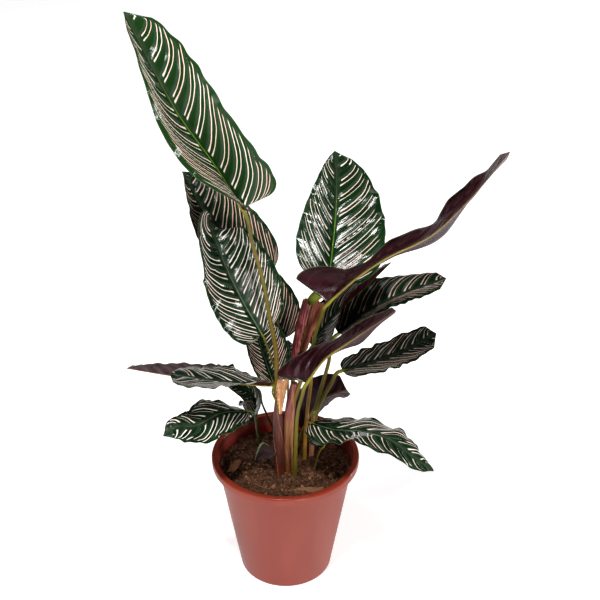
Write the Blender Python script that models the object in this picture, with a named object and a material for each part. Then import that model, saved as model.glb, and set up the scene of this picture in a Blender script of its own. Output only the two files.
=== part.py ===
"""A pinstripe calathea growing in a plastic nursery pot.

Metres, +Z up. The origin is the middle of the pot's flat underside, and -Y is the viewer's side.
Leaf and stalk points are given in centimetres, because they are read more easily that way.
"""
import math

import bmesh
import bpy
import numpy as np
from mathutils import Vector

CM = 0.01
GAP = 0.0003

# Pot
POT_HEIGHT = 0.156
RIM_RADIUS = 0.085
RIM_INNER_RADIUS = 0.0755
RIM_DEPTH = 0.011
BODY_TOP_RADIUS = 0.0775
BASE_RADIUS = 0.053
FOOT_ROUNDING = 0.004
POT_WALL = 0.0015
POT_FLOOR = 0.0025
POT_SEGMENTS = 44
DRAIN_RADIUS = 0.005
DRAIN_CIRCLE = 0.034
DRAIN_COUNT = 6

# Soil
SOIL_LEVEL = 0.140
SOIL_SLOPE = -0.09
SOIL_LUMP = 0.0022
SOIL_SEGMENTS = 30

# Leaves and stalks
BLADE_THICKNESS = 0.0009
RIB_DEPTH = 0.0011
BASE_HALF_WIDTH = 0.0016
ACROSS = (0.12, 0.56, 1.0)
ACROSS_ROLLED = (0.1, 0.4, 0.66, 0.84, 1.0)
BASE_CROWDING = 1.25
STALK_RADIUS = 0.0022
THIN_SCALE = 0.55
STALK_TAPER = (1.25, 1.0, 0.85)
WINGED_TAPER = (1.25, 1.1, 1.0, 1.0, 1.0, 1.3, 2.6, 0.85)
STALK_SIDES = 6
COLLAR = 0.004

GREEN = (0.045, 0.11, 0.04)
PURPLE = (0.09, 0.03, 0.045)
OLIVE = (0.28, 0.24, 0.05)
STEM_BROWN = (0.20, 0.08, 0.07)
SHEATH_RED = (0.36, 0.09, 0.08)
SHEATH_TAN = (0.60, 0.36, 0.20)
TERRACOTTA = (0.52, 0.15, 0.09)
SOIL_BROWN = (0.09, 0.045, 0.028)

# Each blade: its midrib from base to tip, the way its face looks (azimuth 0 is towards the viewer, 90 to
# the viewer's right; then elevation), its width, where along it is widest, how full its outline is, and the
# rise of each half from the plane across the midrib, in degrees: at the midrib, two thirds out and at the
# margin. Rows of angles run evenly from base to tip.
LEAVES = {
    "blade_tall_left": dict(
        midrib=[(-4.2, -2.5, 48.4), (-6.8, -3.0, 53.5), (-10.2, -3.0, 59.0), (-12.8, -2.5, 64.3),
                (-14.7, -1.5, 68.1)],
        face=[(35, 25), (12, 25), (25, 25), (38, 25)], width=9.8, widest=0.3, fullness=(0.45, 0.14),
        taper=(0.72, 0.42), left=[(80, 80, 80), (68, 70, 60), (56, 58, 32), (52, 54, 22), (51, 53, 22),
                                  (52, 54, 38),
                                  (40, 44, 48)],
        right=[(36, 34, 32), (47, 45, 41), (41, 39, 36), (24, 22, 20), (15, 12, 10)],
        wave=(0.2, 6), lobe=0.4, steps=20),
    "blade_upper_left": dict(
        midrib=[(-1.5, 4.0, 37.3), (-5.3, 5.0, 40.0), (-8.6, 6.0, 43.6), (-10.9, 6.5, 48.2)],
        face=[(10, 20), (15, 20), (40, 20)], width=8.5, widest=0.4, fullness=0.4,
        left=[(45, 48, 50)], right=[(20, 15, 10)], wave=(0.2, 6)),
    "blade_front_left": dict(
        midrib=[(-2.5, 0.0, 31.8), (-4.4, 0.2, 35.6), (-6.4, 0.6, 40.4), (-7.6, 1.5, 43.9),
                (-7.8, 3.0, 44.0)],
        face=[(25, 25), (25, 25), (40, 25)], width=9.8, widest=0.42, fullness=0.38,
        left=[(28, 33, 38)], right=[(20, 12, 5)], wave=(0.15, 5)),
    "blade_behind_left": dict(
        midrib=[(-0.2, 4.5, 28.3), (-1.7, 5.5, 31.2), (-3.7, 6.5, 35.5), (-4.7, 7.0, 39.6)],
        face=[(5, 20), (5, 25)], width=7.3, widest=0.32, fullness=0.45,
        left=[(30, 30, 30)], right=[(25, 18, 10)], wave=(0.2, 5)),
    "blade_under_left": dict(
        midrib=[(-1.3, 1.3, 24.3), (-2.2, 2.0, 27.0), (-3.0, 2.5, 30.0), (-3.4, 2.8, 33.1)],
        face=[(0, 25), (0, 25)], width=6.3, widest=0.5, fullness=0.45,
        left=[(62, 64, 66)], right=[(20, 15, 10)], steps=14),
    "blade_level_left": dict(
        midrib=[(-1.7, -2.8, 26.9), (-4.8, -4.2, 28.1), (-8.3, -4.6, 28.9), (-12.3, -4.3, 29.5)],
        face=[(0, 85), (0, 90)], width=7.5, widest=0.45, fullness=0.38, taper=0.25,
        left=[(45, 45, 45), (38, 38, 38), (24, 20, 17), (18, 16, 14)],
        right=[(-8, -9, -10), (2, -1, -4), (-14, -17, -20), (-16, -20, -26)],
        wave=(0.2, 6)),
    "blade_rolled_left": dict(
        midrib=[(-3.7, 4.0, 21.9), (-8.0, 3.0, 23.6), (-12.7, 1.5, 25.3), (-17.5, 0.0, 27.3)],
        face=[(180, 55), (180, 60)], width=6.5, widest=0.4, fullness=0.45,
        left=[(32, 31, 30)], right=[(25, 22, 20)], wave=(0.1, 5), steps=14),
    "blade_low_left": dict(
        midrib=[(-4.3, -1.5, 22.6), (-7.1, -4.0, 24.0), (-9.6, -6.5, 24.2), (-12.0, -8.0, 24.9),
                (-12.9, -8.5, 24.3)],
        face=[(0, 75), (-10, 70)], width=5.4, widest=0.45, fullness=0.42, taper=(0.55, 0.85),
        left=[(5, -2, -10), (0, -12, -30)], right=[(-20, -20, -20), (8, 2, -5), (8, 2, -5)], wave=(0.3, 4)),
    "blade_small_left": dict(
        midrib=[(-3.4, 3.5, 18.05), (-3.2, 3.1, 20.55), (-4.1, 2.5, 22.55), (-6.8, 1.5, 24.25)],
        face=[(-30, 30), (-10, 60)], width=4.4, widest=0.3, fullness=0.35,
        left=[(15, 10, 5)], right=[(80, 80, 76)], steps=12),
    "blade_low_right": dict(
        midrib=[(3.1, -0.5, 20.2), (5.0, -2.0, 20.5), (8.5, -4.5, 22.0), (11.4, -7.0, 22.7),
                (13.9, -8.5, 21.5),
                (16.1, -9.0, 20.0)],
        face=[(20, 75), (60, 55)], width=7.0, widest=0.35, fullness=0.35,
        left=[(-5, -15, -25)], right=[(15, 10, 5)], wave=(0.35, 4.5)),
    "blade_dark_right": dict(
        midrib=[(2.0, 4.5, 15.6), (3.1, 4.0, 18.5), (4.7, 3.2, 21.1), (7.0, 2.5, 22.7)],
        face=[(180, -31), (180, -31)], width=6.0, widest=0.5, fullness=0.35,
        left=[(70, 65, 60)], right=[(30, 28, 25)], steps=12),
    "blade_level_right": dict(
        midrib=[(6.5, 2.5, 25.3), (10.2, 3.5, 25.9), (12.5, 4.1, 26.4), (14.4, 4.5, 27.2),
                (15.8, 4.8, 27.9),
                (17.1, 5.0, 28.7)],
        face=[(180, 85), (0, 78)], width=6.2, widest=0.5, fullness=0.28,
        left=[(5, 3, 0), (-8, -10, -12)], right=[(8, 5, 0), (16, 14, 12), (16, 14, 12)], wave=(0.2, 5)),
    "blade_cupped_right": dict(
        midrib=[(2.4, -4.4, 28.25), (4.3, -5.1, 31.8), (7.05, -6.2, 34.9), (11.45, -7.0, 39.05)],
        face=[(180, -31), (180, -31)], width=7.8, widest=0.2, fullness=0.08,
        left=[(82, 88, 92), (82, 88, 92), (70, 72, 74), (76, 82, 86), (55, 60, 62)],
        right=[(10, 15, 20), (62, 58, 50), (70, 80, 75), (68, 84, 5), (68, 84, -5), (70, 82, 60),
               (45, 50, 52)],
        wave=(0.12, 4), lobe=2.8, lobe_fade=2.5),
    "blade_long_right": dict(
        midrib=[(6.0, 3.4, 29.7), (8.6, 4.4, 31.4), (11.2, 5.3, 32.5), (13.2, 5.8, 33.3),
                (18.0, 6.2, 35.2)],
        face=[(0, 88), (0, 88)], width=8.5, widest=0.45, fullness=0.4, taper=0.35,
        left=[(8, 5, 2), (13, 10, 6), (12, 8, -10), (0, -5, -50), (-5, -8, -30)],
        right=[(35, 30, 20), (35, 30, 20), (38, 34, -20), (34, 28, -70), (25, 15, -30)],
        wave=(0.1, 4)),
    "blade_inner_right": dict(
        midrib=[(3.1, 3.5, 28.0), (4.6, 4.5, 30.0), (6.7, 5.5, 32.1), (8.9, 6.0, 34.1), (11.8, 6.5, 37.1)],
        face=[(0, 85), (0, 85)], width=7.5, widest=0.35, fullness=0.4,
        left=[(-6, -8, -10), (-8, -10, -12), (-14, -16, -20), (-20, -22, -26)],
        right=[(15, 20, 25), (25, 35, 45), (45, 50, 55), (52, 52, 52), (50, 50, 50)]),
    "blade_tall_right": dict(
        midrib=[(4.7, -3.2, 37.6), (7.1, -4.0, 40.7), (10.25, -5.2, 44.0), (14.8, -6.4, 47.45),
                (17.7, -7.2, 51.2),
                (21.55, -8.0, 57.25)],
        face=[(180, -31), (180, -31)], width=10.0, widest=0.16, fullness=0.06,
        left=[(84, 90, 94), (84, 90, 94), (82, 88, 93), (76, 81, 84), (82, 88, 92), (82, 88, 92),
              (72, 76, 78)],
        right=[(0, 0, 0), (70, 75, 75), (72, 88, 60), (72, 88, 0), (72, 86, -55), (72, 84, -30),
               (70, 80, 76),
               (70, 80, 30), (70, 82, -55), (72, 84, -55), (72, 84, 84), (72, 80, 84), (70, 76, 80)],
        lobe=1.4, steps=19, across=ACROSS_ROLLED),
    "blade_centre": dict(
        midrib=[(4.75, 2.2, 37.1), (5.25, 5.2, 39.9), (5.7, 9.6, 43.8), (5.6, 14.1, 47.1)],
        face=[(24, 50), (24, 45)], width=11.4, widest=0.32, fullness=(0.22, 0.3), taper=(0.86, 0.65),
        left=[(30, 35, 42)], right=[(22, 17, 12)], wave=(0.2, 5), lobe=0.3, steps=18),
    "blade_hidden_centre": dict(
        midrib=[(0.3, 5.2, 22.2), (0.3, 6.0, 24.4), (0.3, 6.4, 26.9)],
        face=[(0, 25), (0, 25)], width=2.6, widest=0.45, fullness=0.45,
        left=[(35, 33, 30)], right=[(30, 28, 25)], steps=8),
    "blade_tiny_right": dict(
        midrib=[(4.1, -0.6, 17.6), (3.4, -0.4, 18.1), (2.7, -0.1, 17.8)],
        face=[(0, 70), (0, 60)], width=2.2, widest=0.4, fullness=0.45,
        left=[(20, 10, 0)], right=[(20, 10, 0)], steps=6),
}

# Stalks run from the ground or a stem up to the blade of the same name.
STALKS = {
    "tall_left": [(-0.75, -1.2, 22.6), (-0.85, -0.95, 26.4), (-0.95, -1.1, 30.4), (-1.5, -2.1, 34.9),
                  (-2.2, -2.6, 40.1),
                  (-3.2, -2.6, 44.3)],
    "upper_left": [(-0.7, -1.0, 22.2), (-0.65, 1.7, 24.4), (-0.75, 3.2, 28.4), (-0.95, 3.9, 32.9)],
    "front_left": [(-0.75, -1.1, 23.4), (-0.85, -0.3, 26.2), (-1.35, -0.2, 28.4), (-1.95, -0.1, 30.3)],
    "behind_left": [(-0.65, -0.9, 22.0), (-0.5, 1.8, 24.0), (-0.35, 3.6, 26.4)],
    "under_left": [(-0.7, -1.0, 21.4), (-0.8, -0.5, 22.6), (-1.0, 0.2, 23.6)],
    "level_left": [(-0.75, -1.3, 22.0), (-1.0, -1.7, 24.2), (-1.35, -2.3, 25.7)],
    "centre": [(0.75, -0.7, 23.0), (0.95, -0.35, 26.4), (1.55, 0.3, 29.6), (2.3, 0.8, 33.0),
               (2.95, 1.3, 35.3)],
    "tall_right": [(0.7, -0.8, 22.4), (1.55, -1.05, 25.6), (2.6, -0.55, 28.6), (3.05, -0.5, 30.4),
                   (3.35, -0.8, 32.3),
                   (3.95, -1.7, 35.0)],
    "low_right": [(3.1, 1.9, 16.4), (3.05, 1.2, 17.8), (3.0, 0.4, 19.2)],
    "level_right": [(3.2, 2.0, 18.2), (4.1, 2.3, 21.3), (5.2, 2.5, 23.4)],
    "long_right": [(3.3, 2.0, 19.6), (4.1, 2.6, 22.7), (4.9, 3.0, 26.0)],
    "rolled_left": [(-0.7, 4.4, 11.6), (-1.6, 4.4, 16.2), (-2.7, 4.2, 19.5)],
    "low_left": [(-1.8, 1.6, 11.8), (-2.4, 0.6, 15.3), (-3.1, -0.7, 18.6)],
    "small_left": [(-2.6, 3.9, 11.8), (-3.1, 3.8, 14.4), (-3.4, 3.6, 16.4)],
    "dark_right": [(1.5, 4.6, 11.6), (1.6, 4.6, 13.6)],
    "cupped_right": [(1.05, -2.4, 11.8), (1.12, -2.7, 15.5), (1.2, -3.1, 18.8), (1.5, -3.6, 24.2),
                     (1.95, -4.1, 26.6)],
    "inner_right": [(2.2, 0.7, 11.8), (2.25, 0.95, 16.5), (2.55, 1.3, 21.0), (2.95, 2.2, 24.4)],
    "hidden_centre": [(0.2, 3.6, 11.8), (0.2, 4.0, 16.0), (0.25, 4.5, 19.6)],
    "tiny_right": [(2.9, -1.3, 11.8), (3.4, -1.1, 14.6), (4.0, -0.8, 16.6)],
}
THIN_STALKS = ("front_left", "behind_left", "level_left", "low_left", "small_left", "rolled_left",
               "dark_right",
               "hidden_centre", "tiny_right", "low_right")

# Leafy stems: their own path with a radius at each point, in centimetres, and the stalks that leave them.
STEMS = {
    "stem_left": dict(
        path=[(-0.65, -1.7, 11.4), (-0.65, -1.6, 14.0), (-0.72, -1.4, 17.5), (-0.8, -1.2, 21.0),
              (-0.72, -1.1, 24.2)],
        radii=[0.52, 0.56, 0.55, 0.53, 0.42],
        stalks=["tall_left", "upper_left", "front_left", "behind_left", "under_left", "level_left"]),
    "stem_middle": dict(
        path=[(0.34, -0.95, 11.4), (0.34, -0.9, 14.0), (0.36, -0.8, 18.0), (0.54, -0.7, 22.0),
              (0.86, -0.75, 25.2)],
        radii=[0.48, 0.54, 0.58, 0.55, 0.44],
        stalks=["centre", "tall_right"]),
    "stem_right": dict(
        path=[(3.0, 2.0, 11.4), (3.0, 2.0, 14.2), (3.1, 2.0, 17.0), (3.3, 2.0, 20.2)],
        radii=[0.3, 0.32, 0.3, 0.26],
        stalks=["low_right", "level_right", "long_right"]),
}

# Old leaf sheaths, given like blades.
SHEATHS = {
    "sheath_red": dict(
        midrib=[(0.8, 0.1, 26.0), (1.1, 0.75, 28.5), (1.8, 1.4, 32.0), (2.6, 2.1, 35.0)],
        face=[(20, 0), (15, 0)], width=5.2, widest=0.85, fullness=0.5, start=0.12, cut=0.92,
        left=[(0, 115, 165)], right=[(0, 115, 165), (0, 100, 145), (0, 75, 115)], steps=12,
        across=ACROSS_ROLLED),
    "sheath_tan": dict(
        midrib=[(-0.5, -1.82, 22.4), (-0.4, -1.92, 24.6), (-0.1, -2.15, 27.2)],
        face=[(5, 0), (5, 0)], width=1.4, widest=0.8, fullness=1.1, start=0.02, cut=0.92,
        left=[(0, -20, -35)], right=[(0, -40, -60)], steps=8),
    "sheath_dark": dict(
        midrib=[(-1.7, -1.4, 17.6), (-2.45, -1.55, 16.8), (-3.4, -1.5, 15.7)],
        face=[(0, 25), (0, 35)], width=2.4, widest=0.14, fullness=0.15, taper=1.05,
        left=[(0, 15, 30)], right=[(10, 30, 60)], steps=8),
}


def clear_scene():
    for old in list(bpy.data.objects):
        bpy.data.objects.remove(old)


def principled(name, colour, roughness):
    material = bpy.data.materials.new(name)
    material.use_nodes = True
    shader = material.node_tree.nodes["Principled BSDF"]
    shader.inputs["Base Color"].default_value = (*colour, 1.0)
    shader.inputs["Roughness"].default_value = roughness
    shader.inputs["Metallic"].default_value = 0.0
    return material


def make_object(name, bm, material, sharp_angle=0.8):
    """Turn a bmesh into a smooth-shaded object whose faces point out."""
    bmesh.ops.recalc_face_normals(bm, faces=bm.faces)
    mesh = bpy.data.meshes.new(name)
    bm.to_mesh(mesh)
    bm.free()
    mesh.shade_smooth()
    mesh.set_sharp_from_angle(angle=sharp_angle)
    mesh.materials.append(material)
    made = bpy.data.objects.new(name, mesh)
    bpy.context.scene.collection.objects.link(made)
    return made


def normalised(vectors):
    return vectors / np.linalg.norm(vectors, axis=-1, keepdims=True)


def way(azimuth, elevation):
    """Unit vector that looks to the viewer at azimuth 0 and to the viewer's right at 90."""
    a = math.radians(azimuth)
    e = math.radians(elevation)
    return np.array([math.sin(a) * math.cos(e), -math.cos(a) * math.cos(e), math.sin(e)])


def smooth_path(points, shares):
    """Points at these shares of the length of the smooth curve through the given points."""
    given = np.array(points, float)
    spans = np.linalg.norm(np.diff(given, axis=0), axis=1)
    slopes = np.diff(given, axis=0) / spans[:, None]
    weights = spans[1:] / (spans[1:] + spans[:-1])
    turns = slopes[:-1] * weights[:, None] + slopes[1:] * (1 - weights[:, None])
    headings = np.vstack([slopes[:1], turns, slopes[-1:]])
    fine = []
    for a, b, m, n, span in zip(given, given[1:], headings, headings[1:], spans):
        for t in np.linspace(0, 1, 24, endpoint=False):
            curve = a * (2 * t**3 - 3 * t**2 + 1) + b * (3 * t**2 - 2 * t**3)
            fine.append(curve + span * (m * (t**3 - 2 * t**2 + t) + n * (t**3 - t**2)))
    fine = np.array(fine + [given[-1]])
    run = np.concatenate([[0], np.cumsum(np.linalg.norm(np.diff(fine, axis=0), axis=1))])
    wanted = np.asarray(shares) * run[-1]
    return np.stack([np.interp(wanted, run, fine[:, axis]) for axis in range(3)], axis=-1)


def along_rows(rows, u):
    """Values at u of rows that are spread evenly from base to tip."""
    rows = np.array(rows, float)
    stations = np.linspace(0, 1, len(rows))
    if len(rows) == 1:
        return np.repeat(rows, len(u), axis=0)
    return np.stack([np.interp(u, stations, rows[:, k]) for k in range(rows.shape[1])], axis=-1)


def half_section(angles, reach):
    """Sideways run and rise, per unit of half width, of a half blade at a fraction of its reach."""
    samples = 24
    bend_at = 0.7
    across = np.zeros(len(angles))
    rise = np.zeros(len(angles))
    for k in range(samples):
        q = reach * (k + 0.5) / samples
        if q < bend_at:
            angle = angles[:, 0] + (angles[:, 1] - angles[:, 0]) * q / bend_at
        else:
            angle = angles[:, 1] + (angles[:, 2] - angles[:, 1]) * (q - bend_at) / (1 - bend_at)
        across += np.cos(angle) * reach / samples
        rise += np.sin(angle) * reach / samples
    return across, rise


def one_side(value, side):
    return value[side] if isinstance(value, tuple) else value


def half_outline(leaf, u, side):
    """Half width in metres by row, left (0) or right (1) of the midrib, and its share of the greatest."""
    peak = leaf["widest"]
    base_power = one_side(leaf["fullness"], side)
    tip_power = one_side(leaf.get("taper", base_power * (1 - peak) / peak), side)
    start = leaf.get("start", 0.0)
    share = start + (leaf.get("cut", 1.0) - start) * u
    outline = (share / peak) ** base_power * ((1 - share) / (1 - peak)) ** tip_power
    least = BASE_HALF_WIDTH * (1 - 0.6 * u)
    return least + (leaf["width"] * CM / 2 - least) * outline, outline


def blade_surface(leaf, steps, across):
    """Middle surface of a blade in metres: rows from base to tip, columns from left margin to right."""
    u = np.linspace(0, 1, steps + 1) ** BASE_CROWDING
    spine = smooth_path(leaf["midrib"], u) * CM
    tangent = normalised(np.gradient(spine, axis=0))
    face = along_rows([way(*look) for look in leaf["face"]], u)
    normal = normalised(face - (face * tangent).sum(axis=1, keepdims=True) * tangent)
    side = np.cross(tangent, normal)
    amount, count = leaf.get("wave", (0, 1))
    back = leaf.get("lobe", 0) * CM * (1 - u) ** leaf.get("lobe_fade", 5)
    columns = []
    for reach in [-q for q in reversed(across)] + [0] + list(across):
        q = abs(reach)
        half_width, outline = half_outline(leaf, u, int(reach > 0))
        lobe = back * outline
        key = "left" if reach < 0 else "right"
        run, rise = half_section(np.radians(along_rows(leaf[key], u)), q)
        phase = 0 if reach < 0 else 2.1
        ripple = amount * CM * q**2 * np.sin(2 * math.pi * count * u + phase) * np.sqrt(np.sin(math.pi * u))
        offset = math.copysign(1, reach) * (half_width * run)[:, None] * side
        lift = (half_width * rise + ripple)[:, None] * normal
        columns.append(spine + offset + lift - (lobe * q * q)[:, None] * tangent)
    return np.stack(columns, axis=1)


def surface_normals(grid):
    rows = np.gradient(grid, axis=0)
    columns = np.gradient(grid, axis=1)
    return normalised(np.cross(columns, rows))


def make_blade(name, leaf, materials, rib=RIB_DEPTH):
    """A closed thin solid round the blade's middle surface, with its midrib standing out underneath."""
    steps = leaf.get("steps", 15)
    grid = blade_surface(leaf, steps, leaf.get("across", ACROSS))
    normals = surface_normals(grid)
    if "lobe" in leaf:
        # A lobe runs back behind the first row, which would turn that row's own normals inside out.
        normals[0] = normals[1]
    rows, columns = grid.shape[:2]
    middle = columns // 2
    under_depth = np.full((rows, columns, 1), BLADE_THICKNESS / 2)
    under_depth[:, middle] += rib * np.linspace(1, 0.2, rows)[:, None]
    upper = grid + normals * BLADE_THICKNESS / 2
    under = grid - normals * under_depth
    bm = bmesh.new()
    top = [[bm.verts.new(upper[i, j]) for j in range(columns)] for i in range(rows)]
    low = [[bm.verts.new(under[i, j]) for j in range(columns)] for i in range(rows)]
    for i in range(rows - 1):
        for j in range(columns - 1):
            for sheet, slot in ((top, 0), (low, 1)):
                a, b, c, d = sheet[i][j], sheet[i + 1][j], sheet[i + 1][j + 1], sheet[i][j + 1]
                halves = ((a, b, c), (a, c, d)) if j < middle else ((a, b, d), (b, c, d))
                for half in halves:
                    bm.faces.new(half).material_index = slot
    loop = [(i, 0) for i in range(rows)] + [(rows - 1, j) for j in range(1, columns)]
    loop += [(i, columns - 1) for i in range(rows - 2, -1, -1)] + [(0, j) for j in range(columns - 2, 0,
                                                                                         -1)]
    for (i, j), (k, m) in zip(loop, loop[1:] + loop[:1]):
        bm.faces.new((top[i][j], top[k][m], low[k][m]))
        bm.faces.new((top[i][j], low[k][m], low[i][j]))
    made = make_object(name, bm, materials[0])
    made.data.materials.append(materials[1])
    return made


def make_tube(name, points, radii, material, steps=None, sides=STALK_SIDES):
    """A closed round tube along a smooth path; radii in metres, spread evenly from end to end."""
    steps = steps or 2 * (len(points) - 1)
    fine = smooth_path(points, np.linspace(0, 1, 8 * steps + 1)) * CM
    path = fine[::8]
    tangents = normalised(np.gradient(fine, axis=0))[::8]
    radius = np.interp(np.linspace(0, 1, steps + 1), np.linspace(0, 1, len(radii)), radii)
    bm = bmesh.new()
    rings = []
    first = np.array([1.0, 0.0, 0.0])
    for centre, tangent, r in zip(path, tangents, radius):
        first = normalised(first - (first @ tangent) * tangent)
        second = np.cross(tangent, first)
        turns = [2 * math.pi * k / sides for k in range(sides)]
        rings.append([bm.verts.new(centre + r * (math.cos(t) * first + math.sin(t) * second)) for t in turns])
    for low, high in zip(rings, rings[1:]):
        for k in range(sides):
            m = (k + 1) % sides
            bm.faces.new((low[k], low[m], high[m], high[k]))
    bm.faces.new(rings[0])
    bm.faces.new(rings[-1])
    return make_object(name, bm, material)


def stalk_points(key):
    """The stalk's own points, ended in line with its blade and just short of it."""
    midrib = LEAVES["blade_" + key]["midrib"]
    spine = smooth_path(midrib, (0.0, 0.03))
    heading = normalised(spine[1] - spine[0])
    end = np.array(midrib[0]) - heading * GAP / CM * 2
    return STALKS[key] + [tuple(end - heading * COLLAR / CM), tuple(end)]


def stalk_radii(key):
    scale = THIN_SCALE if key in THIN_STALKS else 1.0
    return [STALK_RADIUS * scale * share for share in (WINGED_TAPER if key == "centre" else STALK_TAPER)]


def apply_modifiers(target):
    graph = bpy.context.evaluated_depsgraph_get()
    finished = bpy.data.meshes.new_from_object(target.evaluated_get(graph))
    target.modifiers.clear()
    target.data = finished


def fuse(target, others):
    """One Boolean union of the target with a collection of others, which are then removed."""
    group = bpy.data.collections.new("joined")
    for other in others:
        group.objects.link(other)
        bpy.context.scene.collection.objects.unlink(other)
    bpy.context.scene.collection.children.link(group)
    union = target.modifiers.new("union", "BOOLEAN")
    union.operation = "UNION"
    union.operand_type = "COLLECTION"
    union.collection = group
    apply_modifiers(target)
    for other in others:
        bpy.data.objects.remove(other)
    bpy.data.collections.remove(group)


def make_stems(material):
    for name, stem in STEMS.items():
        radii = [r * CM for r in stem["radii"]]
        trunk = make_tube(name, stem["path"], radii, material, sides=12)
        stalks = [make_tube("stalk_" + key, stalk_points(key), stalk_radii(key), material)
                  for key in stem["stalks"]]
        fuse(trunk, stalks)


def single_stalks():
    grown = [key for stem in STEMS.values() for key in stem["stalks"]]
    return [key for key in STALKS if key not in grown]


def profile_of_pot():
    """Radius and height down the outside, across the underside, and up the inside of the pot."""
    step_height = POT_HEIGHT - RIM_DEPTH
    top_round = 0.003
    outer = [(RIM_INNER_RADIUS, POT_HEIGHT - 0.001), (RIM_INNER_RADIUS + 0.0015, POT_HEIGHT),
             (RIM_RADIUS - top_round, POT_HEIGHT), (RIM_RADIUS - 0.0008, POT_HEIGHT - 0.001),
             (RIM_RADIUS, POT_HEIGHT - top_round), (RIM_RADIUS - 0.0012, step_height + 0.001),
             (RIM_RADIUS - 0.0025, step_height), (BODY_TOP_RADIUS, step_height)]
    foot = [(BASE_RADIUS - FOOT_ROUNDING * (1 - math.cos(t)), FOOT_ROUNDING * (1 - math.sin(t)))
            for t in (math.radians(k) for k in (0, 30, 60, 90))]
    floor = [(0.0, 0.0), (0.0, POT_FLOOR)]
    inner = [(BASE_RADIUS - POT_WALL - 0.002, POT_FLOOR), (BASE_RADIUS - POT_WALL, POT_FLOOR + 0.003),
             (BODY_TOP_RADIUS - POT_WALL, step_height - 0.002)]
    return outer, foot, floor, inner


def spin_profile(bm, profile, segments):
    """Turn a closed outline round Z; points on the axis become one vertex."""
    rings = []
    for radius, height in profile:
        if radius == 0.0:
            rings.append([bm.verts.new((0, 0, height))] * segments)
        else:
            turns = [2 * math.pi * k / segments for k in range(segments)]
            rings.append([bm.verts.new((radius * math.cos(t), radius * math.sin(t),
                                        height)) for t in turns])
    for one, two in zip(rings, rings[1:]):
        for k in range(segments):
            m = (k + 1) % segments
            corners = list(dict.fromkeys((one[k], one[m], two[m], two[k])))
            if len(corners) > 2:
                bm.faces.new(corners)
    return rings


def make_cutter(name, radius, low, high, x, y, sides=16):
    bm = bmesh.new()
    bmesh.ops.create_cone(bm, cap_ends=True, segments=sides, radius1=radius, radius2=radius,
                          depth=high - low)
    bmesh.ops.translate(bm, verts=bm.verts, vec=Vector((x, y, (low + high) / 2)))
    return make_object(name, bm, principled(name, SOIL_BROWN, 1.0))


def cut(target, cutters):
    """Take the cutters out of the target, and remove them."""
    for cutter in cutters:
        difference = target.modifiers.new("hole", "BOOLEAN")
        difference.operation = "DIFFERENCE"
        difference.object = cutter
    apply_modifiers(target)
    for cutter in cutters:
        bpy.data.objects.remove(cutter)


def make_pot(material):
    outer, foot, floor, inner = profile_of_pot()
    bm = bmesh.new()
    profile = outer + foot + floor + inner
    rings = spin_profile(bm, profile, POT_SEGMENTS)
    for k in range(POT_SEGMENTS):
        m = (k + 1) % POT_SEGMENTS
        bm.faces.new((rings[-1][k], rings[-1][m], rings[0][m], rings[0][k]))
    pot = make_object("pot", bm, material, sharp_angle=0.6)
    holes = []
    for k in range(DRAIN_COUNT):
        turn = 2 * math.pi * (k + 0.4) / DRAIN_COUNT
        x = DRAIN_CIRCLE * math.cos(turn)
        y = DRAIN_CIRCLE * math.sin(turn)
        holes.append(make_cutter("drain", DRAIN_RADIUS, -0.002, POT_FLOOR + 0.002, x, y, sides=12))
    cut(pot, holes)


def inner_radius(height):
    """Radius of the pot's inside at a height."""
    low = POT_FLOOR + 0.003
    high = POT_HEIGHT - RIM_DEPTH - 0.002
    share = (height - low) / (high - low)
    return BASE_RADIUS - POT_WALL + (BODY_TOP_RADIUS - BASE_RADIUS) * min(max(share, 0.0), 1.0)


def soil_height(x, y):
    """Lumpy surface that rises towards the viewer."""
    lumps = math.sin(95 * x + 1.3) * math.sin(110 * y + 0.4) + 0.6 * math.sin(210 * x - 150 * y + 2.0)
    return SOIL_LEVEL + SOIL_SLOPE * y + SOIL_LUMP * 0.6 * lumps


def make_soil(material):
    """A plug that fits the pot with a small gap, with a hole for everything that grows out of it."""
    bm = bmesh.new()
    clearance = 0.0005
    low = POT_FLOOR + clearance
    wall_heights = [low, 0.05, 0.10, 0.132]
    shares = [0.97, 0.75, 0.5, 0.25]
    turns = [2 * math.pi * k / SOIL_SEGMENTS for k in range(SOIL_SEGMENTS)]
    rings = []
    for height in wall_heights:
        shrink = 0.003 if height == low else 0.0
        r = (inner_radius(height) - shrink - clearance) * math.cos(math.pi / POT_SEGMENTS)
        rings.append([bm.verts.new((r * math.cos(t), r * math.sin(t), height)) for t in turns])
    top = (inner_radius(SOIL_LEVEL) - clearance) * math.cos(math.pi / POT_SEGMENTS)
    for share in shares:
        ring = []
        for t in turns:
            x = top * share * math.cos(t)
            y = top * share * math.sin(t)
            ring.append(bm.verts.new((x, y, soil_height(x, y))))
        rings.append(ring)
    for one, two in zip(rings, rings[1:]):
        for k in range(SOIL_SEGMENTS):
            m = (k + 1) % SOIL_SEGMENTS
            bm.faces.new((one[k], one[m], two[m], two[k]))
    bm.faces.new(rings[0])
    crown = bm.verts.new((0, 0, soil_height(0, 0)))
    for k in range(SOIL_SEGMENTS):
        bm.faces.new((rings[-1][k], rings[-1][(k + 1) % SOIL_SEGMENTS], crown))
    bmesh.ops.triangulate(bm, faces=[f for f in bm.faces if len(f.verts) == 4])
    soil = make_object("soil", bm, material)
    cutters = []
    for stem in STEMS.values():
        widest = max(stem["radii"][:2]) * CM
        cutters.append(hole_for(stem["path"], [widest, widest]))
    for key in single_stalks():
        cutters.append(hole_for(stalk_points(key), stalk_radii(key)))
    cut(soil, cutters)


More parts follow.
